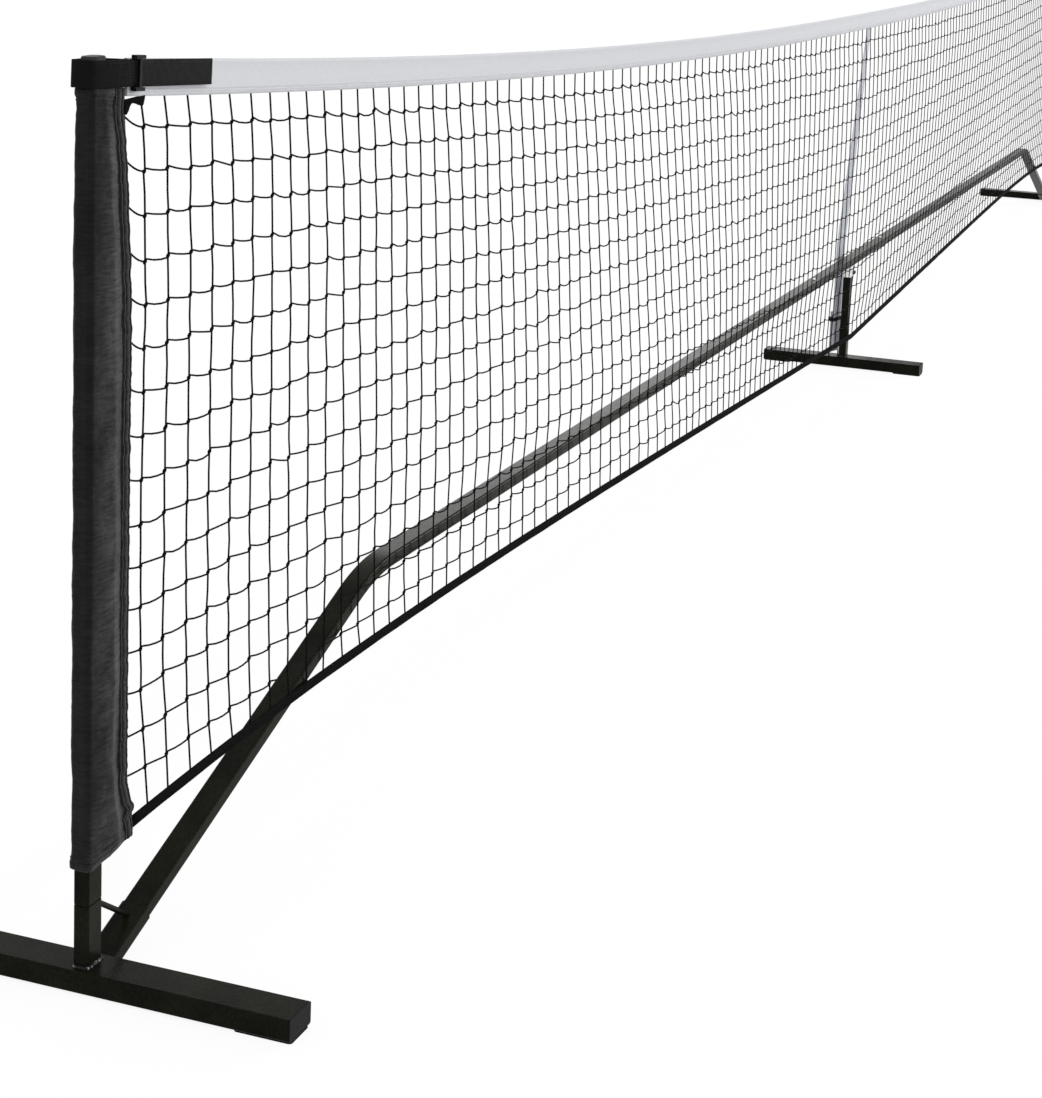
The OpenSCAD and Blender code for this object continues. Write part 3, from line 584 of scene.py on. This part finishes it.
# Stitch rows are counted from the edge that the cloth was laid out from
FINISHES = {
    "powder_black": powder_coat("powder_black", 0.005, 0.016, 0.22),
    "zinc": plated("zinc"),
    "weld": weld_metal("weld"),
    "wire_black": powder_coat("wire_black", 0.004, 0.012, 0.25),
    "cap_black": moulded("cap_black", 0.004, 0.007, 0.5),
    "cap_grey": moulded("cap_grey", 0.05, 0.08, 0.5),
    "rubber_black": moulded("rubber_black", 0.004, 0.006, 0.75),
    "net_cord": twine("net_cord", 0.003, 0.006),
    "band_white": woven(
        "band_white", (0.66, 0.67, 0.70), (0.70, 0.71, 0.74), 0.7, 0.9, 0.05, rows=(4, 6.5), crumple=0.5
    ),
    "cord_white": twine("cord_white", 0.6, 0.7),
    "tape_black": woven(
        "tape_black", grey(0.004), grey(0.007), 0.8, 1.0, 0.08, rows=(3,), Specular_IOR_Level=0.015
    ),
    "sleeve_black": sleeve_cloth("sleeve_black"),
    "binding_black": woven(
        "binding_black", grey(0.003), grey(0.03), 0.5, 1.0, 0.08,
        rows=(4.8, 12.8), sheen=0.2, crumple=1.0, Specular_IOR_Level=0.08,
    ),
    "webbing_black": ribbed_webbing("webbing_black", 0.004, 0.007),
    "strap_white": woven("strap_white", (0.62, 0.64, 0.70), (0.68, 0.70, 0.75), 0.65, 1.4, 0.1),
    "slider_black": moulded("slider_black", 0.004, 0.007, 0.4),
}


def finish_cad_nodes():
    """Puts each CAD node's finish in its own material slots, which are named as the record names them."""
    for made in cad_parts.values():
        for slot in made.material_slots:
            slot.material = FINISHES[slot.material.name.split(".")[0]]


# ---- The knotted net ----


def pushed_inward(place, x, down):
    """How far each knot is moved towards the net's middle, by the sleeve's seam and by the net's lean."""
    heights, pulls = zip(*SEAM_PULL)
    from_end = NET_HALF - np.abs(x)
    pull = np.interp(place[:, :, 2], heights, pulls) * np.exp(-from_end / SEAM_PULL_REACH)[:, None]
    past = np.clip((from_end - LEAN_REACH) / (NET_HALF - LEAN_REACH), 0, 1)
    lean = LEAN * np.cos(np.pi / 2 * past) ** 2 * (np.minimum(from_end, LEAN_REACH) / 1000) ** 1.6
    over_bar = np.clip((from_end - BAR_START) / 500, 0, 1)[:, None]
    under_bar = 1 / (1 + np.exp((BAR_DOWN - down) / 0.02))
    leaning = lean[:, None] * down**1.2 + FOOT_LEAN * down**6
    return pull + leaning - LEAN_BACK * over_bar * under_bar


def knots():
    """Where the net's knots are: an array of (column, row, xyz), rows counted from the band down."""
    x = np.linspace(-NET_HALF + COLUMN_INSET, NET_HALF - COLUMN_INSET, NET_COLUMNS + 1)
    down = np.arange(NET_ROWS) / (NET_ROWS - 1)
    first = band_low(x) - FIRST_ROW_DROP
    ends = np.exp((np.abs(x) - NET_HALF) / LAST_ROW_REACH)
    last = tape_top(x) + LAST_ROW_RISE + LAST_ROW_END * ends
    place = np.zeros((NET_COLUMNS + 1, NET_ROWS, 3))
    place[:, :, 0] = x[:, None]
    place[:, :, 2] = first[:, None] + (last - first)[:, None] * down
    grid = place.copy()
    grid[:, :, 0] += DRIFT_X * ripple(place, (300, 1, 260), 3) + rng.normal(0, JITTER_X, grid.shape[:2])
    grid[:, :, 2] += DRIFT_Z * ripple(place, (260, 1, 320), 8) + rng.normal(0, JITTER_Z, grid.shape[:2])
    grid[:, :, 0] -= np.sign(x)[:, None] * pushed_inward(place, x, down)
    held = 1 - np.exp(-(NET_HALF - np.abs(x)) / BILLOW_REACH)
    billow = BILLOW * np.sin(np.pi * down) ** 0.6 * held[:, None]
    billow = 1 + billow * (0.8 + 0.4 * np.abs(ripple(place, (420, 1, 380), 5)))
    grid[:, :, 1] = NET_Y - billow
    grid[:, :, 2] += 0.6 * billow
    return grid


def level_strings(grid):
    """Each row's string: it reaches a knot low and leaves it high, then dips to the next."""
    step = np.clip(rng.normal(*KNOT_STEP, grid.shape[:2]), 0.5, 7)
    dip = np.clip(rng.normal(*STRING_DIP, (NET_COLUMNS, NET_ROWS)), 0, 3)
    off_knot = np.stack([np.full(step.shape, KNOT_X), step * 0, step / 2], -1)
    near, far = grid[:-1], grid[1:]
    leave, reach = near + off_knot[:-1], far - off_knot[1:]
    middle = []
    for share in (0.35, 0.7):
        point = leave + (reach - leave) * share
        point[:, :, 2] -= dip * 4 * share * (1 - share)
        middle.append(point)
    stations = np.stack([near, leave, *middle, reach], 1)
    path = np.concatenate([stations.reshape(-1, NET_ROWS, 3), grid[-1:]])
    return tubes(path.transpose(1, 0, 2), STRING_D / 2)


def upright_strings(grid):
    """Each column's string, with a small jog at every knot, from inside the band to inside the tape."""
    jog = rng.normal(*KNOT_JOG, grid.shape[:2])
    shift = np.stack([jog, jog * 0, jog * 0 + KNOT_Z], -1)
    half = (grid[:, :-1] + grid[:, 1:]) / 2
    half[:, :, 0] += rng.normal(*COLUMN_BEND, half.shape[:2])
    above, below = grid + shift, grid - shift
    runs = np.stack([grid[:, :-1], below[:, :-1], half, above[:, 1:]], 2)
    runs = runs.reshape(NET_COLUMNS + 1, -1, 3)
    x = grid[:, 0, 0]
    lean = rng.normal(*TOP_SHIFT, x.shape) + TOP_LEAN * np.exp((np.abs(x) - NET_HALF) / TOP_LEAN_REACH)
    top = np.stack([x - lean, x * 0 + NET_Y, band_low(x) + INTO_BAND], -1)
    low_x = grid[:, -1, 0] + rng.normal(*FOOT_SHIFT, x.shape)
    foot = np.stack([low_x, low_x * 0 + NET_Y, tape_top(low_x) - INTO_TAPE], -1)
    path = np.concatenate([top[:, None], above[:, :1], runs, grid[:, -1:], foot[:, None]], 1)
    return tubes(path, STRING_D / 2)


def side_strings(grid, side):
    """The short strings from the outermost column to the sleeve's seam, slack near the top."""
    edge = grid[0 if side < 0 else -1]
    down = np.arange(NET_ROWS) / (NET_ROWS - 1)
    slack = SIDE_DROP + SIDE_DROP_TOP / (1 + np.exp((down - SIDE_DROP_TO) * 16))
    drop = slack + rng.normal(*SIDE_JITTER, NET_ROWS)
    start = edge.copy()
    start[:, 2] += drop
    start[:, 0] = side * (HALF_SPAN - seam_reach(start[:, 2]) + KNOT_X)
    start[:, 1] = NET_Y
    share = np.linspace(0, 1, 7)[None, :, None]
    path = start[:, None] + (edge - start)[:, None] * share
    path[:, :, 2] = edge[:, None, 2] + drop[:, None] * (1 - share[:, :, 0]) ** 1.7
    return tubes(path, STRING_D / 2)


def knot_lumps(grid):
    """A short fat slanting lump at every knot."""
    size = rng.normal(*KNOT_SIZE, grid.shape[:2])[:, :, None, None]
    x, z, radius = np.array(KNOT_LUMP).T
    slant = np.stack([x, x * 0, z], -1)
    paths = (grid[:, :, None] + slant * size).reshape(-1, len(x), 3)
    return tubes(paths, np.tile(radius, (len(paths), 1)))


def make_net():
    grid = knots()
    parts = [upright_strings(grid), level_strings(grid), knot_lumps(grid)]
    parts += [side_strings(grid, side) for side in SIDES.values()]
    points, faces = joined(parts)
    net = mesh_object("net", points, faces, FINISHES["net_cord"])
    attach(net, "frame")
    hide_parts("net_mesh")


# ---- The top band and the bottom tape ----


def folded_strip(name, xs, top, outer, inner, finish, wander):
    """Cloth folded over along the net: outer and inner are its section as (y, down from the top)."""
    section = np.array(outer + inner[::-1], float)
    n = len(section)
    down = section[:, 1]
    points = np.zeros((len(xs), n, 3))
    points[:, :, 0] = xs[:, None]
    points[:, :, 1] = NET_Y + section[:, 0]
    points[:, :, 2] = top(xs)[:, None] - down
    points[:, :, 1] += wander * ripple(points, (60, 1e6, 40), 2) * (down / down.max())
    cloth = np.zeros((len(xs), n, 3))
    cloth[:, :, 0] = xs[:, None]
    cloth[:, :, 1] = down * np.sign(section[:, 0] + 1e-9)
    cloth[:, :, 2] = down.max() - down
    faces = grid_faces(len(xs), n, around=True)
    for end in (0, (len(xs) - 1) * n):
        faces += [[end + k, end + k + 1, end + n - 2 - k, end + n - 1 - k] for k in range(n // 2 - 1)]
    return mesh_object(name, points, faces, finish, cloth.reshape(-1, 3))


def fold_section(radius, width, bulge, hem):
    """Half a folded strip's thickness, down from its fold: round, waisted below it, loose, then hemmed."""
    turn = np.radians(np.arange(0, 91, 22.5))
    side = [(bulge * math.sin(a), radius - radius * math.cos(a)) for a in turn]
    side += [(bulge * 0.9, radius * 1.6), (bulge * 0.66, radius * 2.8), (bulge * 0.82, width * 0.5)]
    side += [(bulge * 0.8, width * 0.72), (hem * 0.86, width * 0.83), (hem, width * 0.89), (hem, width)]
    return [(-y, d) for y, d in side[:0:-1]] + side


def make_band():
    xs = np.linspace(-BAND_HALF, BAND_HALF, 420)
    half = BAND_T / 2
    outer = fold_section(half, BAND_W, half, BAND_HEM)
    inner = [(y * (1 - BAND_CLOTH / half), max(d, BAND_CLOTH)) for y, d in outer]
    band = folded_strip("band", xs, band_top, outer, inner, FINISHES["band_white"], 0.5)
    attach(band, "frame")
    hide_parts("top_band")


def make_band_cord():
    xs = np.linspace(-BAND_HALF + CORD_INSET, BAND_HALF - CORD_INSET, 400)
    path = np.stack([xs, xs * 0 + NET_Y, band_top(xs) - CORD_DROP], -1)
    points, faces = tubes(path[None], CORD_R, 8)
    cord = mesh_object("band_cord", points, faces.tolist(), FINISHES["cord_white"])
    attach(cord, "frame")
    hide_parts("top_cord")


def make_tape():
    reach = HALF_SPAN - SEAM_EDGE - SEAM_FLARE - 0.3
    xs = np.linspace(-reach, reach, 420)
    outer = fold_section(TAPE_FOLD_R, TAPE_W, TAPE_BULGE, TAPE_HEM)
    inner = [(y * TAPE_HOLLOW, max(d, TAPE_CLOTH)) for y, d in outer]
    tape = folded_strip("tape", xs, tape_top, outer, inner, FINISHES["tape_black"], 0.6)
    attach(tape, "frame")
    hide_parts("bottom_tape")


# ---- Sleeves ----


def arc(x, y, r, start):
    """A quarter turn of a corner, anticlockwise from start degrees."""
    turn = np.radians(start + np.linspace(0, 90, 5))
    return [(x + r * math.cos(a), y + r * math.sin(a)) for a in turn]


def between(a, b, count):
    """Points strictly between two points."""
    return [tuple(np.array(a) + (np.array(b) - a) * k / (count + 1)) for k in range(1, count + 1)]


def sleeve_outline(z):
    """The sleeve's section at a height, from the back of its seam round the post to the front of its seam.

    The post is at the origin, with the net towards +X.
    """
    a = TUBE_W / 2 + SLEEVE_GAP + SLEEVE_CLOTH
    b = TUBE_T / 2 + SLEEVE_GAP + SLEEVE_CLOTH
    r = TUBE_R
    e = float(seam_reach(z))
    lip = SLEEVE_CLOTH + 0.1
    tip, heel = (e, NET_Y - lip), (e, NET_Y + lip)
    front_left = arc(-a + r, -b + r, r, 180)
    back_right = arc(a - r, b - r, r, 0)
    back_left = arc(-a + r, b - r, r, 90)
    behind, back, outside, front = SLEEVE_POINTS
    return (
        [heel]
        + between(heel, back_right[0], behind)
        + back_right
        + between(back_right[-1], back_left[0], back)
        + back_left
        + between(back_left[-1], front_left[0], outside)
        + front_left
        + between(front_left[-1], tip, front)
        + [tip]
    )


def outward(outline):
    """Unit normals of an anticlockwise outline of (x, y) points."""
    along = np.gradient(outline, axis=0)
    normal = np.stack([along[:, 1], -along[:, 0]], 1)
    return normal / np.linalg.norm(normal, axis=1, keepdims=True)


def sleeve_edges(x, e):
    """Heights of the sleeve's bottom and top edges at x from the post, with its seam at e."""
    post = TUBE_W / 2 + 2
    off_post = np.clip((x - post) / (e - post), 0, 1)
    over_post = np.clip(x / TUBE_W + 0.5, 0, 1)
    low = SLEEVE_HEM_H + HEM_RISE * over_post + (SEAM_HEM_H - SLEEVE_HEM_H - HEM_RISE) * off_post**0.6
    high = SLEEVE_TOP_H + (SEAM_TOP_H - SLEEVE_TOP_H) * off_post
    return low, high


def sleeve_folds(place, to_seam, down, gathered):
    """Long folds, cross folds, gathers at the top and puckers along the seam."""
    sewn = np.exp(-to_seam / 13)
    folds = 0.9 * ripple(place, (22, 22, 95), 1) + 0.8 * ripple(place, (40, 40, 26), 4)
    folds += (0.25 + 0.9 * gathered) * ripple(place, (40, 40, 6), 6)
    folds += 1.2 * sewn * ripple(place, (60, 60, 8), 7)
    return folds * (0.8 + 0.9 * down)


def sleeve_ring(share, inset):
    """One ring of the sleeve, share of the way up from its bottom edge, with folds, moved in by inset."""
    outline = np.array(sleeve_outline(SEAM_HEM_H + share * SEAM_LENGTH))
    x, y = outline.T
    e, a = x.max(), -x.min()
    low, high = sleeve_edges(x, e)
    place = np.column_stack([outline, low + share * (high - low)])
    to_seam = np.hypot(x - e, y - NET_Y)
    down = min(max(1 - share, 0), 1)
    from_hem = min(down, 1 - down) * SEAM_LENGTH
    gathered = math.exp(-down / GATHER)
    inside = np.clip((to_seam - 12) / 16, 0, 1) * (1 - 0.85 * math.exp(-from_hem / 22))
    crown = np.sin(np.pi * ((e - x) / (e + a)) ** 0.8) ** 0.9
    belly = inside * crown * (BELLY + BELLY_LOW * down**3) * (y < -8)
    loose = SLACK_BEHIND * ((x < -8) & (y > -6)) * (1 - gathered) * (1 - 0.7 * down)
    hem = HEM_PUFF * (1 - math.tanh(from_hem - HEM_TURN))
    hem -= HEM_PINCH * math.exp(-(((from_hem - HEM_STITCH) / 1.2) ** 2))
    swell = np.clip(0.5 + sleeve_folds(place, to_seam, down, gathered) + belly + loose, -0.2, 8.0)
    swell = swell * (0.15 + 0.85 * np.clip((to_seam - 9) / 9, 0, 1)) + hem - inset
    swell *= np.where(to_seam < 2, 0.3, 1.0)
    return place + np.column_stack([outward(outline) * swell[:, None], np.zeros(len(outline))])


def at_end(points, side):
    """Points drawn round a post at the origin, with the net towards +X, moved to one end."""
    moved = np.array(points, float)
    moved[..., 0] = side * (HALF_SPAN - moved[..., 0])
    return moved


def sleeve_levels():
    """Rings up the sleeve as (share of the way up, moved in by): the hems are turned in and drawn finer."""
    fine = 0.022
    low = np.linspace(0, fine, 18)[:-1]
    middle = np.linspace(fine, 1 - fine, 260)
    high = np.linspace(1 - fine, 1, 18)[1:]
    outer = [(s, 0.0) for s in np.concatenate([low, middle, high])]
    turn = HEM_TURN / SEAM_LENGTH
    hem = [(turn, 1.9), (turn / 2, 1.9), (0.001, 1.5), (-0.0012, 0.8)]
    return hem + outer + [(1 - s, inset) for s, inset in hem[::-1]]


def make_sleeve(end):
    """The cloth round a post, turned in at its top and bottom hems."""
    rings, cloth = [], []
    for s, inset in sleeve_levels():
        ring = sleeve_ring(s, inset)
        rings.append(ring)
        step = np.linalg.norm(np.diff(ring[:, :2], axis=0), axis=1)
        far = np.concatenate([[0], np.cumsum(step)])
        from_hem = min(s, 1 - s) * SEAM_LENGTH
        cloth.append(np.column_stack([far, ring[:, 2], np.full(len(ring), from_hem)]))
    rings = at_end(rings, SIDES[end])
    faces = grid_faces(*rings.shape[:2])
    made = mesh_object(
        f"sleeve_cloth_{end}", rings, faces, FINISHES["sleeve_black"], np.concatenate(cloth)
    )
    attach(made, "frame")
    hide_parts(f"sleeve_{end}")


def binding_section(z):
    """The binding's section at a height, from its front edge round the seam's edge to its back edge."""
    scallop = 2.4 * noise.noise(Vector((z / 13, 0.3, 0))) + 1.2 * noise.noise(Vector((z / 5, 7, 0)))
    kink = sum(push * math.exp(-(((z - h) / spread) ** 2)) for h, spread, push in SEAM_KINKS)
    tip = np.array([float(seam_reach(z)) + 0.8 + scallop + kink, NET_Y])
    front = np.array([-TUBE_W / 2, -TUBE_T / 2 - 1.5]) - tip
    back = np.array([TUBE_W / 2 + 1.5, TUBE_T / 2]) - tip
    front /= np.linalg.norm(front)
    back /= np.linalg.norm(back)
    face = np.array([-front[1], front[0]])
    rear = np.array([back[1], -back[0]])
    puff = 0.5 + 0.5 * noise.noise(Vector((z / 3.2, 2, 5)))
    pucker = 0.5 + 0.5 * noise.noise(Vector((z / 5.5, 9, 1)))
    section = [tip + front * s + face * (out + p * pucker + q * puff) for s, out, p, q in BINDING_FRONT]
    return section + [tip + back * s + rear * out for s, out in BINDING_BACK]


def make_binding(end):
    """The doubled strip sewn down the sleeve's seam, gathered by its stitches."""
    heights = np.arange(SEAM_HEM_H - 1, SEAM_TOP_H + 2, BINDING_STEP)
    rings = np.array([binding_section(z) for z in heights])
    n = rings.shape[1]
    points = np.concatenate([rings, np.repeat(heights[:, None, None], n, 1)], 2)
    cloth = np.zeros(points.shape)
    cloth[:, :, 0] = heights[:, None]
    cloth[:, :, 1] = np.arange(n) * 2
    cloth[:, :, 2] = np.arange(n) * BINDING_PITCH
    made = mesh_object(
        f"sleeve_binding_{end}",
        at_end(points, SIDES[end]),
        grid_faces(*points.shape[:2]),
        FINISHES["binding_black"],
        cloth.reshape(-1, 3),
    )
    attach(made, "frame")


def make_corner_patch(end):
    """The black cloth below the band's end, from the sleeve to the first string, cut away in an arch."""
    high = band_low(HALF_SPAN - PATCH_X) - 0.3
    outline = rounded(PATCH, 1)
    front, back = [], []
    for x, down in outline:
        z = high - (PATCH_X - x) * PATCH_SLOPE - down
        front.append([x, NET_Y - 1.9, z])
        back.append([x, NET_Y - 0.6, z])
    mid_x = np.mean(outline, axis=0)[0]
    inner = [[x + (mid_x - x) * 0.08, NET_Y - 2.3, z + (high - 3 - z) * 0.12] for x, _, z in front]
    n = len(outline)
    points = np.array(back + front + inner)
    faces = grid_faces(3, n, around=True) + [[2 * n + k for k in range(n)], list(range(n))]
    made = mesh_object(
        f"corner_patch_{end}", at_end(points, SIDES[end]), faces, FINISHES["tape_black"], points * [1, 0, 0]
    )
    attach(made, "frame")
    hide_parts(f"corner_tab_{end}")
# ---- Straps ----


def make_post_webbing(end):
    """The strap round a post's top, with its free tail in front of the band."""
    side = SIDES[end]
    a = TUBE_W / 2 + 1 + WEB_T / 2
    b = TUBE_T / 2 + 0.5 + WEB_T / 2
    outer, back, turn = a + 0.6 * WEB_SLACK, b + WEB_SLACK, 2.4
    route = [
        (TAIL_REACH, TAIL_Y), (150, TAIL_Y), (90, TAIL_Y), (a + 12, TAIL_Y), (turn - a, -b - 1),
        (-outer, turn - b), (-outer, back - turn), (turn - outer, back), (a - 2, back), (a + 1.4, back - 3),
        (a + 14, TAIL_Y + WEB_T + 0.3),
    ]
    route = respaced(rounded(route, 2), 2.0)
    flat = np.column_stack([route[:, 0], route[:, 1], np.zeros(len(route))])
    flat[:, 1] += 0.5 * ripple(flat, (45, 1e6, 1), 11) * np.clip((flat[:, 0] - 60) / 40, 0, 1)
    tilt = np.array([math.cos(END_SLOPE), 0, -math.sin(END_SLOPE)])
    raised = np.array([math.sin(END_SLOPE), 0, math.cos(END_SLOPE)])
    centre = flat[:, :1] * tilt + flat[:, 1:2] * [0, 1, 0] + [0, 0, WEB_MID_H]
    centre[:, 2] -= 1.8 * np.clip((30 - flat[:, 0]) / 40, 0, 1)
    across = np.tile(raised, (len(route), 1))
    across[:, 0] *= -side
    made = webbing(
        f"post_webbing_{end}", at_end(centre, side), across, WEB_W, WEB_T, FINISHES["webbing_black"]
    )
    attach(made, "frame")
    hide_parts(f"post_strap_{end}")


def make_centre_webbing():
    """The white strap from the band's middle, round the anchor and back up through its slider."""
    sin, cos = math.sin(CSTRAP_TURN), math.cos(CSTRAP_TURN)
    route, across = [], []
    for z in np.linspace(CSTRAP_TOP_H, LEAN_START_H, 60):
        s = min(1, (z - LEAN_START_H) / (LEAN_END_H - LEAN_START_H))
        turn = CSTRAP_TURN * (1 - s)
        y = ANCHOR_Y + s * (CSTRAP_TOP_Y + RUN_Y - ANCHOR_Y)
        route.append((-RUN_Y * math.sin(turn), y - RUN_Y * math.cos(turn), z))
        across.append((math.cos(turn), -math.sin(turn), 0))
    local = [(-RUN_Y, z) for z in np.linspace(LEAN_START_H - 8, ANCHOR_H, 30)]
    local += [(-RUN_Y * math.cos(t), ANCHOR_H - RUN_Y * math.sin(t)) for t in np.radians(range(15, 180, 15))]
    local += [(RUN_Y, z) for z in np.linspace(ANCHOR_H, CSTRAP_TAIL_H - 12, 14)]
    local += [(RUN_Y + 0.5, CSTRAP_TAIL_H - 6), (RUN_Y + 1.6, CSTRAP_TAIL_H)]
    for y, z in local:
        route.append((y * sin, ANCHOR_Y + y * cos, z))
        across.append((cos, -sin, 0))
    made = webbing("centre_webbing", route, across, CSTRAP_W, CSTRAP_T, FINISHES["strap_white"])
    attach(made, "frame")
    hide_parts("centre_strap")


# ---- Welds ----


def make_weld(name, x):
    """A rippled bead round the foot of an upright that stands at x."""
    across, deep = TUBE_W / 2 - TUBE_R, TUBE_T / 2 - TUBE_R
    outline = []
    for k, (sx, sy) in enumerate(((1, 1), (-1, 1), (-1, -1), (1, -1))):
        outline += arc(sx * across, sy * deep, TUBE_R, 90 * k)
    route = respaced(np.array(outline + outline[:1]), 0.9)[:-1]
    rings = []
    for k, (px, py) in enumerate(route):
        centre = np.array([px, py, FOOT_TOP])
        way = np.array([px, py, 0]) / math.hypot(px, py)
        size = WELD_R + 0.35 * math.sin(k * 1.9) + 0.7 * noise.noise(Vector((px / 5, py / 5, x)))
        turn = np.radians(np.arange(0, 360, 45))
        rings.append([centre + size * (way * math.cos(t) + np.array([0, 0, math.sin(t)])) for t in turn])
    rings = np.array(rings + rings[:1])
    rings[:, :, 0] += x
    made = mesh_object(name, rings, grid_faces(*rings.shape[:2], around=True), FINISHES["weld"])
    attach(made, "frame")
    return made


def make_welds():
    """The beads on all three feet, which the source has as one node."""
    for name, x in (("weld_left", -HALF_SPAN), ("weld_right", HALF_SPAN), ("weld_centre", 0)):
        made = make_weld(name, x)
        if x < 0:
            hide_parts("weld_beads")


# ---- Camera, light and floor ----


def make_camera():
    """The photo's camera, as solved from it."""
    place = (-5.19044, -1.10546, 1.09369)
    yaw, pitch, roll = 1.2121, 0.1713, 0.0382
    data = bpy.data.cameras.new("camera")
    data.sensor_width = 36
    data.lens = 75.07
    data.shift_x = 0.0108
    data.shift_y = -0.2493
    data.clip_start, data.clip_end = 0.05, 200
    camera = bpy.data.objects.new("camera", data)
    turned = (
        Matrix.Rotation(-yaw, 4, "Z")
        @ Matrix.Rotation(math.pi / 2 - pitch, 4, "X")
        @ Matrix.Rotation(roll, 4, "Z")
    )
    camera.matrix_world = Matrix.Translation(place) @ turned
    bpy.context.scene.collection.objects.link(camera)
    bpy.context.scene.camera = camera


def make_sun(name, towards, strength, angle):
    """A lamp; angle is its width in degrees."""
    data = bpy.data.lights.new(name, "SUN")
    data.energy = strength
    data.angle = math.radians(angle)
    sun = bpy.data.objects.new(name, data)
    sun.rotation_mode = "QUATERNION"
    sun.rotation_quaternion = Vector(towards).to_track_quat("-Z", "Y")
    bpy.context.scene.collection.objects.link(sun)


def seen_directly(tree):
    """1 for camera, glossy and transmission rays, 0 for the rays that light the object."""
    rays = tree.nodes.new("ShaderNodeLightPath")
    seen = rays.outputs["Is Camera Ray"]
    for name in ("Is Glossy Ray", "Is Transmission Ray"):
        either = tree.nodes.new("ShaderNodeMath")
        either.operation = "MAXIMUM"
        tree.links.new(seen, either.inputs[0])
        tree.links.new(rays.outputs[name], either.inputs[1])
        seen = either.outputs[0]
    return seen


def make_world():
    """White where it is seen directly, dimmer as a light."""
    world = bpy.data.worlds.new("studio")
    world.use_nodes = True
    bpy.context.scene.world = world
    tree = world.node_tree
    back = tree.nodes["Background"]
    back.inputs["Color"].default_value = (1, 1, 1, 1)
    strength = tree.nodes.new("ShaderNodeMapRange")
    strength.inputs["To Min"].default_value = AMBIENT
    strength.inputs["To Max"].default_value = 1.0
    tree.links.new(seen_directly(tree), strength.inputs["Value"])
    tree.links.new(strength.outputs[0], back.inputs["Strength"])


def make_floor():
    """A floor that is white to the camera and keeps a faint shadow."""
    reach = 60000.0
    corners = [(-reach, -reach, 0), (reach, -reach, 0), (reach, reach, 0), (-reach, reach, 0)]
    finish = bpy.data.materials.new("floor")
    finish.use_nodes = True
    tree = finish.node_tree
    paint = tree.nodes["Principled BSDF"]
    paint.inputs["Base Color"].default_value = (0.85, 0.85, 0.85, 1)
    paint.inputs["Roughness"].default_value = 0.9
    glow = tree.nodes.new("ShaderNodeEmission")
    glow.inputs["Color"].default_value = (1, 1, 1, 1)
    glow.inputs["Strength"].default_value = FLOOR_GLOW
    share = tree.nodes.new("ShaderNodeMath")
    share.operation = "MULTIPLY"
    share.inputs[1].default_value = FLOOR_GLOW_SHARE
    tree.links.new(seen_directly(tree), share.inputs[0])
    blend = tree.nodes.new("ShaderNodeMixShader")
    tree.links.new(share.outputs[0], blend.inputs[0])
    tree.links.new(paint.outputs[0], blend.inputs[1])
    tree.links.new(glow.outputs[0], blend.inputs[2])
    tree.links.new(blend.outputs[0], tree.nodes["Material Output"].inputs["Surface"])
    floor = mesh_object("floor", corners, [[0, 1, 2, 3]], finish)


make_camera()
make_world()
for name, sun in SUNS.items():
    make_sun(name, *sun)
make_floor()

finish_cad_nodes()
make_net()
make_band_cord()
make_band()
make_tape()
for end in SIDES:
    make_sleeve(end)
    make_binding(end)
    make_corner_patch(end)
    make_post_webbing(end)
make_centre_webbing()
make_welds()

bpy.context.scene.view_settings.view_transform = "Standard"
